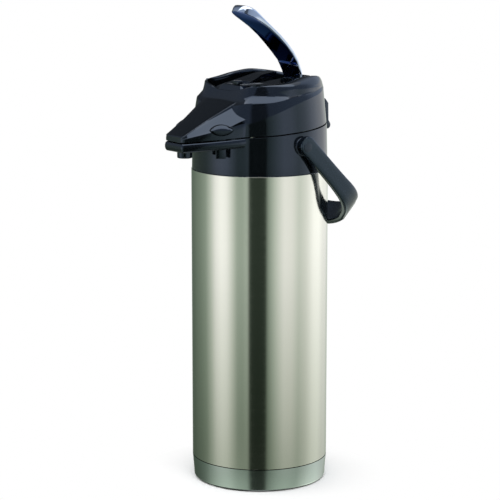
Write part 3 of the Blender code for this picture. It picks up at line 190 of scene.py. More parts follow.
def slab(outline, depth, edge=0.0, segments=3, turn=35):  # an outline pushed along depth, edges rounded
    bm = bmesh.new()
    verts = [bm.verts.new(p) for p in outline]
    face = bmesh.ops.contextual_create(bm, geom=verts)["faces"]
    pushed = bmesh.ops.extrude_face_region(bm, geom=face)["geom"]
    bmesh.ops.translate(bm, vec=depth, verts=[g for g in pushed if isinstance(g, bmesh.types.BMVert)])
    bmesh.ops.recalc_face_normals(bm, faces=bm.faces)
    if edge:
        corners = [e for e in bm.edges if e.calc_face_angle(0.0) > math.radians(turn)]
        bmesh.ops.bevel(bm, geom=corners, offset=edge, offset_type="OFFSET", affect="EDGES",
                        segments=segments, profile=0.5, material=-1, clamp_overlap=True)
    return bm


def join(bm, *others):  # puts other pieces into the same mesh
    for other in others:
        mesh = bpy.data.meshes.new("work")
        other.to_mesh(mesh)
        other.free()
        bm.from_mesh(mesh)
        bpy.data.meshes.remove(mesh)
    return bm


def carve(bm, *cutters, wall=0.0):  # takes the cutters out of the shape, or of a skin given a wall first
    made = []
    for source in (bm, *cutters):
        mesh = bpy.data.meshes.new("work")
        source.to_mesh(mesh)
        source.free()
        made.append(bpy.data.objects.new("work", mesh))
        scene.collection.objects.link(made[-1])
    if wall:
        thick = made[0].modifiers.new("wall", "SOLIDIFY")
        thick.thickness, thick.offset = wall, -1.0
    for cutter in made[1:]:
        cut = made[0].modifiers.new("cut", "BOOLEAN")
        cut.operation, cut.solver, cut.object = "DIFFERENCE", "MANIFOLD", cutter
    out = bmesh.new()
    out.from_mesh(made[0].evaluated_get(bpy.context.evaluated_depsgraph_get()).data)
    for item in made:
        mesh = item.data
        bpy.data.objects.remove(item)
        bpy.data.meshes.remove(mesh)
    return out


def finishPiece(name, bm, material, body, slot, *nodes, sharp=30):  # mesh to object, on its body
    bmesh.ops.scale(bm, vec=(0.001, 0.001, 0.001), verts=bm.verts)
    bmesh.ops.remove_doubles(bm, verts=bm.verts, dist=2e-6)
    bmesh.ops.recalc_face_normals(bm, faces=bm.faces)
    mesh = bpy.data.meshes.new(name)
    bm.to_mesh(mesh)
    bm.free()
    mesh.materials.append(material)
    mesh.shade_smooth()
    mesh.set_sharp_from_angle(angle=math.radians(sharp))
    piece = bpy.data.objects.new(name, mesh)
    scene.collection.objects.link(piece)
    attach(piece, body)
    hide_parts(*nodes)
    return piece


def along(table, at):  # smooth reading of a {place: value} table
    places = sorted(table)
    if at <= places[0]:
        return table[places[0]]
    for low, high in zip(places, places[1:]):
        if at <= high:
            t = (at - low) / (high - low)
            before = places[max(places.index(low) - 1, 0)]
            after = places[min(places.index(high) + 1, len(places) - 1)]
            slopeLow = (table[high] - table[before]) / (high - before)
            slopeHigh = (table[after] - table[low]) / (after - low)
            span = high - low
            return ((2 * t ** 3 - 3 * t ** 2 + 1) * table[low] + (t ** 3 - 2 * t ** 2 + t) * span * slopeLow
                    + (3 * t ** 2 - 2 * t ** 3) * table[high] + (t ** 3 - t ** 2) * span * slopeHigh)
    return table[places[-1]]


def softMin(*values, power=24):  # the smallest of several lengths, with the corner between them rounded
    return sum(v ** -power for v in values) ** (-1 / power)


def turnToX(bm, side):  # a lathe made about Z is laid along X
    bmesh.ops.rotate(bm, cent=(0, 0, 0), matrix=Matrix.Rotation(math.pi / 2 * side, 3, "Y"), verts=bm.verts)
    return bm


sides = ((1, "right"), (-1, "left"))
pot = dict(radius=75.0, shellLow=25.7, shellHigh=348.0, seam=394.0, lean=0.0765, steps=192)


def seamAt(y):  # height of the sloping joint between collar and lid
    return pot["seam"] + pot["lean"] * y


# pot: steel body, base, foot, collar, spout tray, bail
shell = dict(wall=1.2, edge=0.2)
finishPiece("steel_body", lathe([
    (pot["radius"] - shell["wall"], pot["shellHigh"]), (pot["radius"], pot["shellHigh"], shell["edge"]),
    (pot["radius"], pot["shellLow"], shell["edge"]), (pot["radius"] - shell["wall"], pot["shellLow"])],
    pot["steps"]),
    steelWarm, "pot", "brushed_steel_warm", "outer_shell")

base = dict(high=24.9, low=1.2, lowRadius=73.0, corner=1.4, inside=73.0, hole=20.0, floorHigh=6.0,
            floorRadius=66.0, bend=(72.0, 13.0), shadeDeep=0.1)
basePiece = finishPiece("steel_base", lathe([
    (base["inside"], base["high"]), (pot["radius"], base["high"]),
    (base["lowRadius"], base["low"], base["corner"]), (base["hole"], base["low"]),
    (base["hole"], base["floorHigh"]), (base["floorRadius"], base["floorHigh"]), base["bend"]], pot["steps"]),
    steelCool, "pot", "brushed_steel_cool", "base_cap")
basePiece.data.materials.append(seamShade)
for face in basePiece.data.polygons:  # the top of the base, in the joint, takes the painted shade
    if face.center.z * 1000 > base["high"] - base["shadeDeep"]:
        face.material_index = 1

foot = dict(radius=71.0, high=1.1, topEdge=0.2, lowEdge=0.4, hole=14.0, edge=0.3, grooveOut=57.0,
            grooveIn=41.0, grooveSide=1.0, grooveDeep=0.6)
finishPiece("rubber_foot", lathe([
    (foot["radius"], foot["high"], foot["topEdge"]), (foot["radius"], 0.0, foot["lowEdge"]),
    (foot["grooveOut"], 0.0, foot["edge"]), (foot["grooveOut"] - foot["grooveSide"], foot["grooveDeep"]),
    (foot["grooveIn"] + foot["grooveSide"], foot["grooveDeep"]), (foot["grooveIn"], 0.0, foot["edge"]),
    (foot["hole"], 0.0, foot["edge"]), (foot["hole"], foot["high"])]),
    rubber, "pot", "black_rubber", "foot_pad")

collar = dict(high=pot["seam"] - 0.5, low=348.35, lowRadius=74.5, highRadius=73.4, inside=70.5,
              skirtLow=338.0, skirtRadius=73.5, skirtTaper=0.1, highEdge=0.2, lowEdge=0.6, skirtEdge=0.5)
ring = lathe([
    (collar["inside"], collar["high"]), (collar["highRadius"], collar["high"], collar["highEdge"]),
    (collar["lowRadius"], collar["low"], collar["lowEdge"]), (collar["skirtRadius"], collar["low"]),
    (collar["skirtRadius"] - collar["skirtTaper"], collar["skirtLow"], collar["skirtEdge"]),
    (collar["inside"], collar["skirtLow"])], pot["steps"])
for v in ring.verts:  # the top edge leans with the seam
    share = max(0.0, (v.co.z - collar["low"]) / (collar["high"] - collar["low"]))
    v.co.z += pot["lean"] * v.co.y * share
finishPiece("collar_band", ring, blackGloss, "pot", "black_gloss_plastic", "collar")

tray = dict(rootHalf=47.0, rootY=-57.0, noseHalf=15.4, noseY=-116.0, corner=3.4, deep=10.6, wall=2.6,
            rearY=-48.0, bow=2.4, bodyRadius=72.2, nozzleRoom=1.6, hookRoom=0.8, cutLow=360.0, cutHigh=400.0)


def wallHalf(y):  # half width of the beak, its walls bowed a little outward
    t = max(0.0, min(1.0, (y - tray["noseY"]) / (tray["rootY"] - tray["noseY"])))
    return tray["noseHalf"] + (tray["rootHalf"] - tray["noseHalf"]) * t + 4 * tray["bow"] * t * (1 - t)


def beakPlan(inset, rearY, steps=7, parts=12):  # half plan of the beak, from the nose's middle to the rear
    run = tray["rootY"] - tray["noseY"]
    places = [tray["noseY"] + run * k / parts for k in range(2, parts + 1)]
    corner = rounded([(0.0, tray["noseY"]), (tray["noseHalf"], tray["noseY"], tray["corner"]),
                      (wallHalf(places[0]), places[0])], steps)[:-1]
    half = [Vector((p.x, p.z)) for p in corner] + [Vector((wallHalf(y), y)) for y in places]
    half.append(Vector((tray["rootHalf"], rearY)))
    out = []
    for k, p in enumerate(half):
        ahead = (half[min(k + 1, len(half) - 1)] - half[max(k - 1, 0)]).normalized()
        if k == 0:
            ahead = Vector((1.0, 0.0))
        elif k == len(half) - 1:
            ahead = Vector((0.0, 1.0))
        out.append(p + Vector((-ahead.y, ahead.x)) * inset)
    return out


def beakRing(inset, drop):  # closed loop of the beak's plan, a drop below the seam
    half = beakPlan(inset, tray["rearY"] - inset)
    loop = [Vector((-p.x, p.y, 0.0)) for p in reversed(half[1:])] + [Vector((p.x, p.y, 0.0)) for p in half]
    return [Vector((p.x, p.y, seamAt(p.y) - drop)) for p in loop + loop[:1]]


def cylinder(radius, low, high, y=0.0, steps=64):  # a round cutter
    bm = bmesh.new()
    bmesh.ops.create_cone(bm, cap_ends=True, segments=steps, radius1=radius, radius2=radius, depth=high - low)
    offCorners = Matrix.Rotation(0.021, 3, "Z")  # keeps its corners off those of the shape it cuts
    bmesh.ops.rotate(bm, cent=(0, 0, 0), matrix=offCorners, verts=bm.verts)
    bmesh.ops.translate(bm, vec=(0.0, y, (low + high) / 2), verts=bm.verts)
    return bm


latch = dict(x=35.2, y=-79.0, z=398.5, normal=(0.8814, -0.4724), length=24.0, height=10.5, proud=2.0,
             back=2.6, hookHalf=5.5, hookThick=3.0, hookLow=367.5, hookHigh=396.0, hookIn=5.8, hookEdge=0.8,
             travel=3.0, room=0.7, lean=0.62)


def leafSwell(k, steps):  # share of the leaf's full height at one step along it
    return max(1 - (2 * k / steps - 1) ** 2, 0.0) ** 0.8


def leafOutline(grow, steps=12):  # pointed leaf, long way along the first axis
    half, rise = latch["length"] / 2 + grow * 1.6, latch["height"] / 2 + grow  # the tips need more room
    upper = [(-half + 2 * half * k / steps, rise * leafSwell(k, steps)) for k in range(steps + 1)]
    return upper + [(a, -b) for a, b in reversed(upper[1:-1])]


def onWall(side, run, rise, out):  # a point on the beak's side wall: along it, up it and away from it
    nx, ny = latch["normal"]
    x, y = latch["x"] - ny * run + nx * out, latch["y"] + nx * run + ny * out
    return Vector((side * x, y, latch["z"] + rise))


def hookBox(side, grow, low, high, edge, inward=0.0):  # the latch's hook, or the way cut for it
    half, thick = latch["hookHalf"] + grow, latch["hookThick"] / 2 + grow
    inner, outer = -latch["hookIn"] - thick - inward, thick - latch["hookIn"]
    corners = [(-half, inner), (half, inner), (half, outer), (-half, outer)]
    outline = [onWall(side, run, low - latch["z"], out) for run, out in corners]
    return slab(outline, (0.0, 0.0, high - low), edge)


nozzle = dict(y=-101.6, radius=8.4, bore=5.2, low=367.4, high=386.0, flange=10.5, flangeDeep=2.4,
              neckDeep=3.6, neckRound=1.2, taper=0.3, tipRound=1.0, edge=0.6)
deep, wall = tray["deep"], tray["wall"]
trayBody = sheetOf([beakRing(inset, drop) for inset, drop in (  # from the inside over the rim and down
    (wall, deep - wall), (wall, 0.8), (0.5, 0.8), (0.2, 1.0), (-0.5, 2.4), (-0.9, 4.2), (-0.8, deep - 4.2),
    (-0.2, deep - 2.2), (0.7, deep - 0.9), (1.8, deep - 0.25), (3.2, deep))], capped=True)
cutLow, cutHigh = tray["cutLow"], tray["cutHigh"]
hookWays = [hookBox(side, tray["hookRoom"], cutLow, cutHigh, 0.0, latch["travel"]) for side, word in sides]
trayBody = carve(trayBody, cylinder(tray["bodyRadius"], 300.0, 450.0, steps=144),  # well past it both ways
                 cylinder(nozzle["radius"] + tray["nozzleRoom"], cutLow, cutHigh, y=nozzle["y"]), *hookWays)
finishPiece("spout_tray", trayBody, blackGloss, "pot", "black_gloss_plastic", "collar")

hinge = dict(y=79.0, z=391.0, knuckle=4.2, lugHalf=11.5, lugLow=374.0, lugY=72.6, lugBend=(76.0, 378.0),
             lugEdge=0.6)


def onKnuckle(degrees):  # a point round the hinge pin, as y and z
    turn = math.radians(degrees)
    return hinge["y"] + hinge["knuckle"] * math.cos(turn), hinge["z"] + hinge["knuckle"] * math.sin(turn)


def acrossHinge(half, side, edge=0.0):  # an outline in y and z pushed from one side to the other
    return slab([Vector((-half, y, z)) for y, z in side], (2 * half, 0.0, 0.0), edge)


lugSide = [(hinge["lugY"], hinge["lugLow"]), hinge["lugBend"], *(onKnuckle(-30 + 22.5 * k) for k in range(9)),
           (hinge["lugY"], hinge["z"])]
finishPiece("hinge_lug", acrossHinge(hinge["lugHalf"], lugSide, hinge["lugEdge"]), blackGloss, "pot",
            "black_gloss_plastic", "collar")

bush = dict(z=379.0, radius=10.0, inner=64.5, outer=75.6, trunnion=5.5, room=0.4, innerRadius=7.0, slope=2.0,
            edge=1.2, lipRadius=7.4, lipEdge=0.4, well=1.2)
wellFloor = bush["outer"] - bush["well"]
for side, word in sides:
    boss = turnToX(lathe([
        (0.0, bush["inner"]), (bush["innerRadius"], bush["inner"]),
        (bush["radius"], bush["inner"] + bush["slope"]), (bush["radius"], bush["outer"], bush["edge"]),
        (bush["lipRadius"], bush["outer"], bush["lipEdge"]), (bush["innerRadius"], wellFloor),
        (bush["trunnion"] + bush["room"], wellFloor), (0.0, wellFloor)], 64), side)
    bmesh.ops.translate(boss, vec=(0.0, 0.0, bush["z"]), verts=boss.verts)
    finishPiece("bail_boss_" + word, boss, blackGloss, "pot", "black_gloss_plastic", "bail_bush_" + word)
print("pot made")

bail = dict(armX=79.4, hang=45.0, straight=75.0, corner=35.0, sweep=56.0, arch=114.4, archAt=11.2,
            thick=7.0, eye=9.5, eyeTip=0.6, width={0: 19.0, 60: 20.0, 100: 26.0, 126: 30.0},
            lift={0: 2.2, 70: 2.2, 115: 0.0})  # width and lift by reach from the pivot


def bailPath(steps=8):  # (x, reach from the pivot, width at the eye or None) from one pivot to the other
    half = []
    for k in range(steps + 1):
        reach = -bail["eye"] * math.cos(math.radians(90 * k / steps))
        width = 2 * math.sqrt(max(bail["eye"] ** 2 - reach ** 2, 0.0)) + bail["eyeTip"]
        half.append((bail["armX"], reach, width))
    half += [(bail["armX"], bail["straight"] * k / steps, None) for k in range(1, steps + 1)]
    for k in range(1, steps + 1):
        turn = math.radians(bail["sweep"] * k / steps)
        half.append((bail["armX"] - bail["corner"] * (1 - math.cos(turn)),
                     bail["straight"] + bail["corner"] * math.sin(turn), None))
    for k in range(1, steps + 1):
        turn = math.radians(bail["sweep"] + (90 - bail["sweep"]) * k / steps)
        half.append((bail["arch"] * math.cos(turn), bail["archAt"] + bail["arch"] * math.sin(turn), None))
    return half + [(-x, reach, width) for x, reach, width in reversed(half[:-1])]


path = bailPath()
hang = math.radians(bail["hang"])
down = Vector((0.0, math.cos(hang), -math.sin(hang)))
across = Vector((0.0, math.sin(hang), math.cos(hang)))
quarter = [(-1.0, 0.4), (-0.97, 0.72), (-0.9, 0.9), (-0.8, 0.98), (-0.4, 1.0)]  # shares of width, thickness
upper = quarter + [(0.0, 1.0)] + [(-a, b) for a, b in reversed(quarter)]
section = [(-1.0, -0.4)] + upper + [(a, -b) for a, b in reversed(upper)]
rows = []
for k, (x, reach, width) in enumerate(path):
    if width is None:
        width = along(bail["width"], reach)
    before, after = path[max(k - 1, 0)], path[min(k + 1, len(path) - 1)]
    tangent = Vector((after[0] - before[0], after[1] - before[1])).normalized()
    if abs(x) == bail["armX"]:
        tangent = Vector((0.0, 1.0 if x > 0 else -1.0))
    outward = Vector((tangent.y, -tangent.x))
    lift = along(bail["lift"], reach)
    centre = Vector((x, 0.0, bush["z"])) + down * reach
    rows.append([centre + (Vector((outward.x, 0.0, 0.0)) + down * outward.y) * b * bail["thick"] / 2
                 + across * (a * width / 2 + lift) for a, b in section])
finishPiece("bail_grip", sheetOf(rows, capped=True), blackSatin, "bail", "black_satin_plastic", "bail_handle")

pivotCap = dict(radius=5.2, low=bail["armX"] + 3.0, edgeAt=bail["armX"] + 4.1, high=bail["armX"] + 4.3,
                edge=0.6)
for side, word in sides:  # cap of the pivot on the bail's outer face
    cap = turnToX(lathe([
        (0.0, pivotCap["low"]), (pivotCap["radius"], pivotCap["low"]),
        (pivotCap["radius"], pivotCap["edgeAt"], pivotCap["edge"]), (0.0, pivotCap["high"])], 48), side)
    bmesh.ops.translate(cap, vec=(0.0, 0.0, bush["z"]), verts=cap.verts)
    finishPiece("bail_cap_" + word, cap, blackGloss, "bail", "black_satin_plastic", "bail_handle")
print("bail made")

# lid: drum with swept crease, scooped ledge and open bay
lid = dict(low=0.7, lowRadius=73.3, taper=0.0886, lip=2.4, edge=0.3, creaseDeep=0.6, hollow=0.06,
           hollowFrom=1.0, ledgeLift=0.25, topDrop=0.8, rimRound=0.3, rimSlope=0.9, floor=428.4,
           edgeOn=0.05)  # a wall counts as edge-on below this sine
lidPlan = dict(  # walls in plan: how far ahead, aside and behind, and a round corner as (x, y, radius)
    bay=dict(front=44.0, half=50.6, rear=60.0),
    ridge=dict(front=45.4, half=54.0, rear=63.0, corner=(13.3, -7.6, 43.6)),
    top=dict(front=46.6, rear=68.8, corner=(13.3, -7.6, 46.4)),
    ledgeIn=dict(front=51.5, corner=(-28.5, 25.0, 100.5)),
    ledgeOut=dict(front=59.5))
lidLines = dict(  # by degrees from the front: heights, then how the rim dips, spreads, swells and leans
    crease={0: 400.0, 44: 404.5, 57: 410.6, 91: 426.0, 120: 432.6, 140: 436.6, 156: 434.6, 180: 432.0},
    ledgeOut={0: 422.4, 28: 422.8, 41: 425.6, 63: 426.6, 78: 429.8, 86: 431.5, 110: 434.4, 140: 438.2,
              160: 436.0, 180: 434.4},
    ledgeIn={0: 428.6, 28: 429.0, 36: 430.4, 44: 433.4, 63: 433.6, 78: 432.8, 86: 433.0, 110: 436.4,
             140: 439.2, 160: 437.0, 180: 435.6},
    top={0: 441.0, 40: 442.6, 50: 443.0, 65: 442.2, 85: 440.8, 140: 440.2, 155: 439.2, 170: 438.2,
         180: 438.0},
    dip={0: 6.4, 14: 6.2, 22: 5.2, 29: 3.4, 36: 1.6, 43: 0.4, 50: 0.0, 180: 0.0},
    spread={0: 0.0, 64: 0.0, 74: 2.5, 84: 7.0, 98: 12.0, 135: 26.0, 155: 32.0, 180: 32.0},
    full={0: 1.0, 90: 1.1, 130: 1.5, 180: 1.5},
    lean={0: 1.5, 110: 1.5, 135: 0.6, 155: 0.0, 180: 0.0})
rimLine = {-48: 442.2, -44: 442.6, -38: 443.2, -30: 444.2, -15: 445.4, -6: 446.8, 4: 448.8, 15: 450.4,
           26: 451.2, 36: 450.6, 48: 449.0, 54: 447.6, 62: 445.0, 75: 443.0}  # rim's height by y


def drumRadius(z):  # the drum narrows a little upward
    return lid["lowRadius"] - lid["taper"] * (z - pot["seam"])


def nearest(c, front, *walls):  # the nearest of several walls, with a straight one in front
    if c > lid["edgeOn"]:
        walls += (front / c,)
    return softMin(*walls)


def bayRadius(s, c):  # plan of the bay's opening
    opening = lidPlan["bay"]
    return nearest(c, opening["front"], opening["half"] / max(abs(s), lid["edgeOn"]), opening["rear"])


def roundWall(s, c, x, y, radius):  # reach of a round wall centred off the axis
    middle = x * s - y * c
    return middle + math.sqrt(max(middle ** 2 - x * x - y * y + radius ** 2, 1.0))


def ridgeRadius(s, c, spread):  # plan of the rim's highest line
    ridge = lidPlan["ridge"]
    x, y, radius = ridge["corner"]
    return nearest(c, ridge["front"], ridge["half"] / max(abs(s), lid["edgeOn"]), ridge["rear"],
                   roundWall(s, c, x, y, radius + spread))


def wallRadius(s, c, line, drum, spread=0.0):  # plan of the wall above the ledge: front, round corner, drum
    x, y, radius = lidPlan[line]["corner"]
    return nearest(c, lidPlan[line]["front"], drum, roundWall(s, c, x, y, radius + spread))


def lidColumn(angle):  # ring points of the lid at one angle, from the seam up and into the bay
    s, c, turn = abs(math.sin(math.radians(angle))), math.cos(math.radians(angle)), abs(angle)
    read = {key: along(table, turn) for key, table in lidLines.items()}
    low = seamAt(-lid["lowRadius"] * c) + lid["low"]
    foot = drumRadius(low)
    crease, lean = read["crease"], read["lean"]
    outR = drumRadius(read["ledgeOut"]) - lean
    if c > lid["edgeOn"]:
        outR = nearest(c, lidPlan["ledgeOut"]["front"], outR)
    inR = wallRadius(s, c, "ledgeIn", drumRadius(read["ledgeIn"]) - lean)
    topR = wallRadius(s, c, "top", lidPlan["top"]["rear"], read["spread"])
    bayR, ridgeR = bayRadius(s, c), ridgeRadius(s, c, read["spread"])
    rimZ = along(rimLine, -ridgeR * c) - read["dip"]
    topZ = min(read["top"], rimZ - lid["rimRound"])
    edgeZ = rimZ - lid["rimRound"] - lid["rimSlope"] * (ridgeR - bayR)
    creaseR, edge = drumRadius(crease), lid["edge"]
    run = [(foot - lid["lip"], low), (foot - edge, low), (foot - 0.1, low + 0.1), (foot, low + edge)]
    run += [(foot + (creaseR - foot) * t, low + edge + (crease - lid["creaseDeep"] - low - edge) * t)
            for t in (0.25, 0.5, 0.75, 1.0)]
    run += [(creaseR + (outR - creaseR) * t, crease + (read["ledgeOut"] - crease) * t)
            for t in (0.0, 0.05, 0.35, 0.7, 0.95)]
    run += [(outR - edge, read["ledgeOut"] + lid["ledgeLift"])]
    sink = max(0.0, outR - inR - lid["hollowFrom"]) * lid["hollow"]  # the ledge is a little hollow
    run += [(outR + (inR - outR) * t, read["ledgeOut"] + (read["ledgeIn"] - read["ledgeOut"]) * t - sink)
            for t in (0.35, 0.65, 0.95)]
    run += [(inR + (topR + edge - inR) * t, read["ledgeIn"] + (topZ - lid["topDrop"] - read["ledgeIn"]) * t)
            for t in (0.08, 0.5, 1.0)]
    turns = [math.radians(t) for t in (0, 12, 25, 40, 55, 72, 90)]
    run += [(topR + (ridgeR - topR) * (1 - math.cos(t)), topZ + (rimZ - topZ) * math.sin(t) ** read["full"])
            for t in turns]
    run += [(ridgeR + (bayR - ridgeR) * math.sin(t), rimZ + (edgeZ - rimZ) * (1 - math.cos(t)))
            for t in turns[1:]]
    run += [(bayR - edge, lid["floor"])]
    side = 1 if angle >= 0 else -1
    return [Vector((side * r * s, -r * c, z)) for r, z in run]


half = [2.0 * k for k in range(11)] + [20.0 + 0.8 * k for k in range(1, 34)]  # closer at the front corners
half += [46.4 + 1.8 * k for k in range(1, 74)] + [178.9, 180.0]
drum = sheetOf([lidColumn(a) for a in [-a for a in reversed(half[1:])] + half])
finishPiece("lid_drum", drum, blackGloss, "lid", "black_gloss_plastic", "lid_shell", sharp=24)
print("lid drum made")

# hood over the spout: flat top, stepped ridges, leaning panels, straight walls
hood = dict(noseZ=391.6, climb=0.556, creaseNoseZ=389.6, creaseRootZ=405.6, cornerIn=0.72, wall=2.0,
            ridge={-116.0: 15.0, -105.0: 16.3, -90.0: 18.6, -71.0: 24.0, -57.0: 28.0, -50.0: 29.6},
            fold={-92.0: 0.0, -84.0: 0.6, -70.0: 2.0, -57.0: 3.2},
            slit={-74.0: 0.0, -70.0: 0.5, -63.0: 2.0, -57.0: 2.8})


def hoodSection(y, inset):  # points over the hood at one place along the beak, right side to left
    reach = (y - tray["noseY"]) / (tray["rootY"] - tray["noseY"])
    wide, ahead = wallHalf(y), y - tray["noseY"]
    if ahead < tray["corner"]:
        bulge = math.sqrt(max(tray["corner"] ** 2 - (tray["corner"] - ahead) ** 2, 0.0))
        wide -= tray["corner"] * hood["cornerIn"] - bulge * hood["cornerIn"]
    ridgeZ = hood["noseZ"] + hood["climb"] * ahead
    creaseZ = hood["creaseNoseZ"] + (hood["creaseRootZ"] - hood["creaseNoseZ"]) * reach
    ridge = min(along(hood["ridge"], y), wide - 1.2)
    step = along(hood["fold"], y)
    low, slit = seamAt(y) + 0.8, along(hood["slit"], y)
    # wall, crease with its slit, panel, fold, ridge and top
    half = [(wide - 0.3, low), (wide, low + 0.3), (wide, creaseZ - 0.5), (wide - 0.15, creaseZ - 0.1),
            (wide - 0.35 - 1.3 * slit, creaseZ + 0.1 + 0.3 * slit),
            (wide - 0.6 - 0.3 * slit, creaseZ + 0.2 + slit)]
    panelTop = (ridge + 0.8 + 0.25 * step, ridgeZ - step - 0.5)
    half += [(half[5][0] + (panelTop[0] - half[5][0]) * t, half[5][1] + (panelTop[1] - half[5][1]) * t)
             for t in (0.25, 0.5, 0.75, 1.0)]
    half += [(ridge + 0.45 + 0.1 * step, ridgeZ - step * 0.8 - 0.45), (ridge + 0.35, ridgeZ - 0.6),
             (ridge + 0.1, ridgeZ - 0.2), (ridge - 0.4, ridgeZ), (ridge * 0.66, ridgeZ + 0.15),
             (ridge * 0.33, ridgeZ + 0.3)]
    over = half + [(0.0, ridgeZ + 0.35)] + [(-x, z) for x, z in reversed(half)]
    middle = (low + ridgeZ) / 2
    return [Vector((x * (1 - inset / wide), y,
                    middle + (z - middle) * (1 - inset / 4) if z > low + 0.6 else z)) for x, z in over]


spots = [(-116.0, 0.9), (-115.8, 0.35), (-115.4, 0.1)]  # (y, inset): the nose's first edge is round
spots += [(-115.0 + k * 0.8, 0.0) for k in range(6)] + [(-110.5 + 60.5 * k / 40, 0.0) for k in range(41)]
hoodSkin = sheetOf([hoodSection(y, inset) for y, inset in spots])
nose = [e for e in hoodSkin.edges if e.is_boundary and all(v.co.y < tray["noseY"] + 0.05 for v in e.verts)]
bmesh.ops.contextual_create(hoodSkin, geom=sorted({v for e in nose for v in e.verts}, key=lambda v: v.index))
bmesh.ops.recalc_face_normals(hoodSkin, faces=hoodSkin.faces)
ways = [slab([onWall(side, a, b, -8.0) for a, b in leafOutline(latch["room"])],  # right through the wall
             onWall(side, 0, 0, 14.0) - onWall(side, 0, 0, 0.0)) for side, word in sides]
finishPiece("spout_hood", carve(hoodSkin, *ways, wall=hood["wall"]), blackGloss, "lid", "black_gloss_plastic",
            "lid_shell", sharp=26)


def leafPad(side, steps=24):  # button: the lower half is upright, the upper half leans in like the panel
    rows = []
    for k in range(steps + 1):
        run = latch["length"] * (k / steps - 0.5)
        rise = max(latch["height"] / 2 * leafSwell(k, steps), 0.15)
        loop = [(-rise, -latch["back"]), (-rise, latch["proud"] - 0.9), (-rise * 0.9, latch["proud"] - 0.3),
                (-rise * 0.5, latch["proud"]), (0.0, latch["proud"]), (rise * 0.08, latch["proud"] - 0.1),
                (rise * 0.9, latch["proud"] - latch["lean"] * rise),
                (rise, latch["proud"] - latch["lean"] * rise - 0.6),
                (rise, -latch["back"] - 1.5), (-rise, -latch["back"])]
        rows.append([onWall(side, run, up, out) for up, out in loop])
    return sheetOf(rows, capped=True)


for side, word in sides:
    pad = leafPad(side)
    hook = hookBox(side, 0.0, latch["hookLow"], latch["hookHigh"], latch["hookEdge"])
    finishPiece("leaf_latch_" + word, join(pad, hook), blackGloss, "latch_" + word, "black_gloss_plastic",
                "lid_latch_" + word)
print("hood and latches made")

spout = lathe([
    (nozzle["bore"], nozzle["high"]), (nozzle["flange"], nozzle["high"], nozzle["edge"]),
    (nozzle["flange"], nozzle["high"] - nozzle["flangeDeep"], nozzle["edge"]),
    (nozzle["radius"], nozzle["high"] - nozzle["neckDeep"], nozzle["neckRound"]),
    (nozzle["radius"] - nozzle["taper"], nozzle["low"], nozzle["tipRound"]),
    (nozzle["bore"], nozzle["low"], nozzle["edge"])], 64)
bmesh.ops.translate(spout, vec=(0.0, nozzle["y"], 0.0), verts=spout.verts)
finishPiece("nozzle_tip", spout, blackGloss, "lid", "black_gloss_plastic", "spout_nozzle")

strap = dict(half=22.0, edge=0.8, lugRoom=0.4,  # outlines are (y, z)
             front=[(69.5, 397.5), (75.5, 397.5), (75.8, 393.0)],
             back=[(80.4, 396.5), (80.0, 415.5), (75.4, 421.0), (69.5, 421.0)],
             lugGap=[(70.0, 380.0), (90.0, 380.0), (90.0, 396.6), (70.0, 396.6)])
strapSide = strap["front"] + [onKnuckle(degrees) for degrees in range(200, 391, 19)] + strap["back"]
plate = carve(acrossHinge(strap["half"], strapSide, strap["edge"]),
              acrossHinge(hinge["lugHalf"] + strap["lugRoom"], strap["lugGap"]))
finishPiece("hinge_plate", plate, blackGloss, "lid", "black_gloss_plastic", "hinge_strap")

# lever bay: floor, deck with the lever's slot, lock knob
bay = dict(floorLow=426.0, floorHigh=428.0, gap=0.5, steps=120, deckLow=427.0, frontY=-44.0, frontRun=6.2,
           frontDrop=1.4, ramp=0.215, rampLow=433.6, rampFrom=-45.0, rearY=20.0, rearRamp=0.1, swellTop=442.0,
           swellHalf=29.0, swellSide=15.0, slotLow=420.0, slotDeep=40.0,
           deckHalf={-44.0: 32.0, -40.0: 36.0, -34.0: 37.0, 40.0: 37.0})
plan = []
for k in range(bay["steps"]):
    s, c = math.sin(math.tau * k / bay["steps"]), math.cos(math.tau * k / bay["steps"])
    r = bayRadius(s, c) - bay["gap"]
    plan.append(Vector((r * s, -r * c, bay["floorLow"])))
bayFloor = slab(plan, (0.0, 0.0, bay["floorHigh"] - bay["floorLow"]))


def deckRow(y):  # closed section across the deck: a ramp with a soft swell under the lock knob
    wide = along(bay["deckHalf"], y)
    front = max(0.0, min(1.0, (y - bay["frontY"]) / bay["frontRun"]))
    ramp = (bay["rampLow"] + bay["ramp"] * (min(y, bay["rearY"]) - bay["rampFrom"])
            + bay["rearRamp"] * max(y - bay["rearY"], 0.0) - bay["frontDrop"] * (1 - front) ** 2)
    swell = max(0.0, bay["swellTop"] - ramp) * front * front * (3 - 2 * front)
    row = [Vector((-wide, y, bay["deckLow"]))]
    for k in range(41):
        x = wide * (k / 20 - 1)
        t = max(0.0, min(1.0, (bay["swellHalf"] - abs(x)) / bay["swellSide"]))
        row.append(Vector((x, y, ramp + swell * t * t * (3 - 2 * t))))
    return row + [Vector((wide, y, bay["deckLow"])), row[0].copy()]


deckPlaces = [bay["frontY"] + 0.9 * k for k in range(6)] + [-39.0 + 79.0 * k / 40 for k in range(41)]
deck = sheetOf([deckRow(y) for y in deckPlaces], capped=True)
slot = {-13.0: 1.2, -11.0: 4.0, -6.0: 7.4, 4.0: 12.0, 16.0: 18.4, 26.0: 20.2, 36.0: 20.6,
        70.0: 20.6}  # half width by y
slotPlan = [(w, y) for y, w in slot.items()] + [(-w, y) for y, w in reversed(slot.items())]
for name, part in (("bay_floor", bayFloor), ("bay_deck", deck)):
    slotCut = slab([Vector((x, y, bay["slotLow"])) for x, y in slotPlan], (0.0, 0.0, bay["slotDeep"]))
    finishPiece(name, carve(part, slotCut), blackGloss, "lid", "black_gloss_plastic", "bay_pan")

lock = dict(x=6.0, y=-35.0, length=11.0, width=7.0, low=442.4, high=446.3, edge=0.9, stem=4.0, foot=434.0,
            stemIn=0.5, stemEdge=0.4)


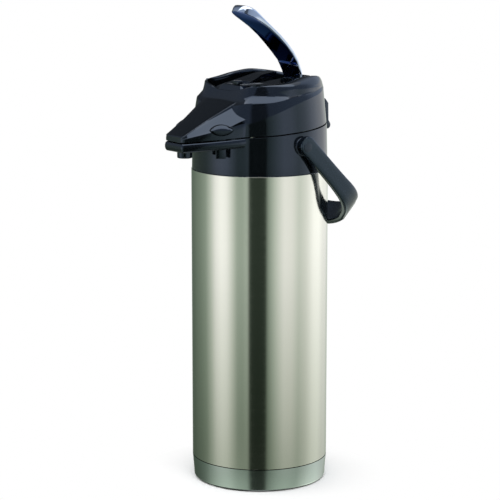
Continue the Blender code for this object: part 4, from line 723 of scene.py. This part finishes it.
def lockBlock(length, width, low, high, edge):  # a block on the lock's centre
    return slab([Vector((lock["x"] + a * length / 2, lock["y"] + b * width / 2, low))
                 for a, b in ((-1, -1), (1, -1), (1, 1), (-1, 1))], (0.0, 0.0, high - low), edge)


knob = join(lockBlock(lock["length"], lock["width"], lock["low"], lock["high"], lock["edge"]),
            lockBlock(lock["stem"], lock["stem"], lock["foot"], lock["low"] + lock["stemIn"],
                      lock["stemEdge"]))
finishPiece("lock_knob", knob, blackGloss, "lock", "black_gloss_plastic", "lock_slider")
print("bay made")

# lever: chrome channel, open in front, with a thumb pad
# facing and the last threshold pick the faces of the hollow front that take the painted shade
lever = dict(wall=2.2, front=2.2, bend=3.6, facing=(0.0, -0.5, -0.866), paintedShadeFacing=0.35)
leverKeys = [  # y, z, half depth, half width, channel depth
    (53.2, 418.2, 1.5, 12.6, 0.2), (53.0, 420.0, 1.7, 14.0, 0.4), (52.2, 424.0, 1.7, 14.6, 0.8),
    (50.8, 432.0, 1.7, 14.8, 0.9), (48.6, 442.0, 1.7, 15.2, 0.9), (45.4, 452.5, 1.7, 16.4, 0.9),
    (39.9, 464.0, 1.7, 17.4, 0.9), (32.3, 473.7, 1.7, 19.0, 0.9), (23.3, 483.4, 1.7, 19.6, 0.9),
    (13.1, 493.1, 1.7, 19.6, 0.9), (0.8, 502.9, 1.8, 19.6, 0.9), (-6.0, 507.4, 2.3, 19.5, 0.8),
    (-11.5, 510.8, 3.0, 19.1, 0.6), (-16.0, 513.4, 3.8, 18.4, 0.4), (-20.0, 515.6, 4.4, 17.3, 0.3),
    (-24.0, 517.7, 4.7, 15.4, 0.2), (-27.2, 519.3, 4.6, 13.2, 0.2), (-29.4, 520.4, 4.2, 10.9, 0.2),
    (-30.9, 521.1, 3.4, 8.4, 0.2), (-31.9, 521.6, 2.2, 5.6, 0.1), (-32.2, 521.8, 1.2, 3.6, 0.1)]


def leverSection(w, h, c):  # closed outline: rounded back and sides, shallow channel in front
    inner, bend = w - lever["wall"], min(h * 0.95, lever["bend"])
    right = [(inner * 0.6, -h + c * 0.95), (inner - 2.0, -h + c * 0.7), (inner, -h + 0.1), (w - 0.9, -h),
             (w - 0.2, -h + 0.5)]
    right += [(w - bend + bend * math.cos(math.radians(t)), h - bend + bend * math.sin(math.radians(t)))
              for t in (0, 18, 36, 54, 72, 90)]
    right += [(w * 0.5, h + 0.3)]
    left = [(-x, n) for x, n in reversed(right)]
    return [(0.0, -h + c)] + right + [(0.0, h + 0.4)] + left + [(0.0, -h + c)]


rows = []
for k, (y, z, h, w, c) in enumerate(leverKeys):
    before, after = leverKeys[max(k - 1, 0)], leverKeys[min(k + 1, len(leverKeys) - 1)]
    ahead = Vector((0.0, after[0] - before[0], after[1] - before[1])).normalized()
    backward = Vector((0.0, ahead.z, -ahead.y))
    rows.append([Vector((x, y, z)) + backward * (n + h - lever["front"]) for x, n in leverSection(w, h, c)])
leverBody = sheetOf(rows, capped=True)

rib = dict(thick=0.8, up=(0.0, 0.9, 0.44), low=-0.4, high=-3.0, edge=0.2, ends=(
    ((-13.0, 46.7, 448.5), (15.5, 36.6, 469.0)), ((-16.0, 41.0, 462.0), (16.0, 42.2, 459.5))))


def leverRib(start, end):  # a thin rib on the channel's floor
    first, last, up = Vector(start), Vector(end), Vector(rib["up"])
    ahead = (last - first).normalized()
    sideways = ahead.cross(up).normalized() * rib["thick"] / 2
    low, high = up * rib["low"], up * rib["high"]
    corners = [first + sideways + low, last + sideways + low, last + sideways + high, first + sideways + high]
    return slab(corners, sideways * -2, rib["edge"], 2)


ribs = [leverRib(start, end) for start, end in rib["ends"]]
finishPiece("lever_ribs", join(*ribs), chrome, "lever", "chrome_plate", "pump_lever")
leverPiece = finishPiece("chrome_lever", leverBody, chrome, "lever", "chrome_plate", "pump_lever", sharp=34)
leverPiece.data.materials.append(chromePaintedShade)
halfWidth = {z: w for y, z, h, w, c in leverKeys}
for face in leverPiece.data.polygons:  # the hollow front takes the painted shade, a darker copy of the chrome
    spot, inFront = face.center * 1000, face.normal.dot(Vector(lever["facing"])) > lever["paintedShadeFacing"]
    if inFront and abs(spot.x) < along(halfWidth, spot.z) - lever["wall"]:
        face.material_index = 1
print("lever made")

# pieces inside keep their CAD shape and take a finish
finishes = dict(
    steelWarm=["flask_floor", "flask_wall", "flask_neck", "base_ring", "hinge_pin", "lever_pin",
               "pump_spring", "lid_screw_front_right", "lid_screw_front_left", "lid_screw_rear_right",
               "lid_screw_rear_left"],
    blackGloss=["neck_ring", "siphon_holder"],
    greyMoulding=["lid_base", "lid_plug", "lever_bracket_right", "lever_bracket_left", "lever_crank",
                  "bellows_seat", "pump_plunger"],
    clearTube=["siphon_tube", "delivery_tube"],
    silicone=["flask_cushion", "neck_gasket", "siphon_seal", "pump_bellows", "air_valve"])
looks = dict(steelWarm=steelWarm, blackGloss=blackGloss, greyMoulding=greyMoulding, clearTube=clearTube,
             silicone=silicone)
for key, names in finishes.items():
    for name in names:
        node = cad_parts[name]
        node.data.materials.clear()
        node.data.materials.append(looks[key])
        node.data.shade_smooth()
        node.data.set_sharp_from_angle(angle=math.radians(30))
print("inner pieces finished")

# stage: white world, pale floor, a tent of light and dark bands round the object
world = bpy.data.worlds.new("studio")
scene.world = world
world.use_nodes = True
tree = world.node_tree
tree.nodes.clear()
rays = addNode(tree, "LightPath")
seen = addNode(tree, "Math", {"operation": "MAXIMUM"},
               {0: rays.outputs["Is Camera Ray"], 1: rays.outputs["Is Glossy Ray"]})
seen = addNode(tree, "Math", {"operation": "MAXIMUM"},
               {0: seen.outputs[0], 1: rays.outputs["Is Transmission Ray"]})
soft = addNode(tree, "Background", {"Color": linear("#ffffff"), "Strength": 0.5})
white = addNode(tree, "Background", {"Color": linear("#ffffff"), "Strength": 1.0})
mix = addNode(tree, "MixShader", {}, {0: seen.outputs[0], 1: soft.outputs[0], 2: white.outputs[0]})
addNode(tree, "OutputWorld", {}, {"Surface": mix.outputs[0]})

bands = dict(radius=3.4, low=-14.0, high=5.2, front=52.0)  # front: degrees from spout to camera, stop 0
bandStops = [
    (-180, 1.0), (-172, 0.8), (-165, 0.165), (-147, 0.165), (-117, 0.27), (-102, 0.36), (-89, 0.65),
    (-78, 1.0), (-67, 1.16), (-57, 1.08), (-47, 0.77), (-38, 0.46), (-29, 0.44), (-20, 0.56), (-17, 0.04),
    (10, 0.04), (13, 0.31), (22, 0.55), (31, 0.77), (41, 0.97), (55, 0.93), (69, 0.73), (84, 0.87),
    (102, 1.22), (117, 1.27), (132, 1.05), (147, 0.98), (158, 0.76), (168, 0.74), (175, 0.9), (180, 1.0)]
highStops = [  # cloth over the object
    (-180, 0.06), (-172, 0.06), (-150, 0.10), (-130, 0.28), (-100, 0.42), (-75, 0.5), (-60, 0.45),
    (-20, 0.45), (-14, 0.10), (8, 0.10), (14, 0.38), (40, 0.50), (90, 0.58), (115, 1.05), (140, 1.0),
    (160, 0.5), (172, 0.14), (180, 0.06)]
lowStops = [  # pale table under the object
    (-180, 0.4), (-160, 0.17), (-130, 0.19), (-112, 0.29), (-100, 0.46), (-85, 0.58), (-70, 0.66),
    (-57, 0.64), (-42, 0.46), (-20, 0.38), (-17, 0.04), (10, 0.04), (13, 0.25), (30, 0.42), (45, 0.50),
    (70, 0.48), (95, 0.93), (130, 1.45), (160, 1.2), (180, 0.4)]
tent, tree, shader = newMaterial("softbox_cloth", {})  # cloth and flags: light and dark bands in the metal
tree.nodes.clear()
place = addNode(tree, "TexCoord")
turned = addNode(tree, "VectorRotate",
                 {"rotation_type": "Z_AXIS", "Angle": math.radians(90.0 - bands["front"])},
                 {"Vector": place.outputs["Object"]})
split = addNode(tree, "SeparateXYZ", {}, {0: turned.outputs[0]})
angle = addNode(tree, "Math", {"operation": "ARCTAN2"}, {0: split.outputs["Y"], 1: split.outputs["X"]})
share = addNode(tree, "MapRange", {"From Min": -math.pi, "From Max": math.pi}, {"Value": angle.outputs[0]})
ramps = {}
for key, stops, green in (("band", bandStops, 1.0), ("high", highStops, 0.0), ("low", lowStops, 0.5)):
    ramp = addNode(tree, "ValToRGB", {}, {"Fac": share.outputs["Result"]})
    setRamp(ramp, stops, green)
    ramps[key] = ramp.outputs["Color"]
levels = dict(  # metres above the foot from and to, then the gain or share from and to
    fall=(-1.6, -0.17, 0.38, 1.06), above=(0.6, 1.05, 0.0, 1.0), below=(-1.2, -1.9, 0.0, 1.0),
    rise=(-1.8, -3.0, 0.9, 1.5), shade=(-2.9, -3.8, 1.0, 0.24), depth=(-0.3, -1.7, 0.0, 1.0))
gain = {}
for key, (start, end, first, last) in levels.items():
    step = addNode(tree, "MapRange", {"From Min": start, "From Max": end, "To Min": first, "To Max": last},
                   {"Value": split.outputs["Z"]})
    gain[key] = step.outputs["Result"]
cloth = addNode(tree, "Mix", {"data_type": "RGBA"}, {0: gain["above"], 6: ramps["band"], 7: ramps["high"]})
bluer = addNode(tree, "Mix", {"data_type": "RGBA", "blend_type": "MULTIPLY", 7: linear("#dfecff")},
                {0: gain["above"], 6: cloth.outputs[2]})  # bluer overhead
lit = addNode(tree, "VectorMath", {"operation": "SCALE"}, {0: bluer.outputs[2], "Scale": gain["fall"]})
near = addNode(tree, "Math", {"operation": "MULTIPLY"}, {0: gain["rise"], 1: gain["shade"]})
nearer = addNode(tree, "VectorMath", {"operation": "SCALE"}, {0: ramps["low"], "Scale": near.outputs[0]})
table = addNode(tree, "Mix", {"data_type": "RGBA"},
                {0: gain["below"], 6: lit.outputs[0], 7: nearer.outputs[0]})
tinted = addNode(tree, "Mix", {"data_type": "RGBA", "blend_type": "MULTIPLY", 7: linear("#f7fff0")},
                 {0: gain["depth"], 6: table.outputs[2]})  # greener further down
glow = addNode(tree, "Emission", {}, {"Color": tinted.outputs[2]})
clear = addNode(tree, "BsdfTransparent")
rays = addNode(tree, "LightPath")
mix = addNode(tree, "MixShader", {},
              {0: rays.outputs["Is Glossy Ray"], 1: clear.outputs[0], 2: glow.outputs[0]})
addNode(tree, "OutputMaterial", {}, {"Surface": mix.outputs[0]})

cloth = bmesh.new()
bmesh.ops.create_circle(cloth, segments=96, radius=bands["radius"], cap_ends=False)
bmesh.ops.translate(cloth, vec=(0.0, 0.0, bands["low"]), verts=cloth.verts)
up = bmesh.ops.extrude_edge_only(cloth, edges=cloth.edges)["geom"]
bmesh.ops.translate(cloth, vec=(0.0, 0.0, bands["high"] - bands["low"]),
                    verts=[g for g in up if isinstance(g, bmesh.types.BMVert)])
mesh = bpy.data.meshes.new("softbox_tent")
cloth.to_mesh(mesh)
cloth.free()
mesh.materials.append(tent)
tentPiece = bpy.data.objects.new("softbox_tent", mesh)
tentPiece.visible_camera = False
tentPiece.visible_shadow = False
scene.collection.objects.link(tentPiece)

paperFloor = dict(size=6.0, z=-0.0004, fadeFrom=0.068, fadeTo=0.14)  # metres; it fades to white round the pot
# matt white paper: no shine, a soft shadow under the pot
paper, tree, shader = newMaterial("white_paper", {"Base Color": linear("#f4f4f4"), "Roughness": 0.9})
place = addNode(tree, "TexCoord")
far = addNode(tree, "VectorMath", {"operation": "LENGTH"}, {0: place.outputs["Object"]})
fade = addNode(tree, "MapRange", {"From Min": paperFloor["fadeFrom"], "From Max": paperFloor["fadeTo"]},
               {"Value": far.outputs["Value"]})
rays = addNode(tree, "LightPath")
bright = addNode(tree, "Math", {"operation": "MULTIPLY"},
                 {0: fade.outputs["Result"], 1: rays.outputs["Is Camera Ray"]})
glow = addNode(tree, "Emission", {"Color": linear("#ffffff"), "Strength": 1.0})
mix = addNode(tree, "MixShader", {}, {0: bright.outputs[0], 1: shader.outputs[0], 2: glow.outputs[0]})
tree.links.new(mix.outputs[0], tree.nodes["Material Output"].inputs["Surface"])
sheet = bmesh.new()
bmesh.ops.create_grid(sheet, x_segments=1, y_segments=1, size=paperFloor["size"])
bmesh.ops.translate(sheet, vec=(0.0, 0.0, paperFloor["z"]), verts=sheet.verts)
mesh = bpy.data.meshes.new("paper_floor")
sheet.to_mesh(mesh)
sheet.free()
mesh.materials.append(paper)
floor = bpy.data.objects.new("paper_floor", mesh)
floor.visible_glossy = False  # the pot's lower half shows the tent, not the floor
scene.collection.objects.link(floor)

lampTarget = (0.0, 0.0, 0.25)
lamps = [  # name, place, size, power, seen in the gloss
    ("key", (1.6, -0.6, 2.4), 1.6, 34.0, False), ("fill", (-1.4, -1.6, 2.0), 1.8, 12.0, False),
    ("overhead", (0.0, -0.45, 2.6), 3.2, 43.0, True)]
for name, spot, size, power, mirrored in lamps:
    light = bpy.data.lights.new(name, "AREA")
    light.size, light.energy = size, power
    lamp = bpy.data.objects.new(name, light)
    lamp.location = spot
    lamp.rotation_mode = "QUATERNION"
    lamp.rotation_quaternion = (Vector(lampTarget) - Vector(spot)).to_track_quat("-Z", "Y")
    lamp.visible_glossy = mirrored
    scene.collection.objects.link(lamp)
print("stage made")

# camera: the photo's side, a little above
aim = dict(spot=(1.7271, -1.3635, 0.6693), target=(-0.0065, -0.0083, 0.2557), lens=145.72, sensor=36.0)
camera = bpy.data.objects.new("camera", bpy.data.cameras.new("camera"))
camera.data.lens = aim["lens"]
camera.data.sensor_width = aim["sensor"]
camera.location = aim["spot"]
camera.rotation_mode = "QUATERNION"
camera.rotation_quaternion = (Vector(aim["target"]) - Vector(aim["spot"])).to_track_quat("-Z", "Y")
scene.collection.objects.link(camera)
scene.camera = camera
scene.view_settings.view_transform = "Standard"
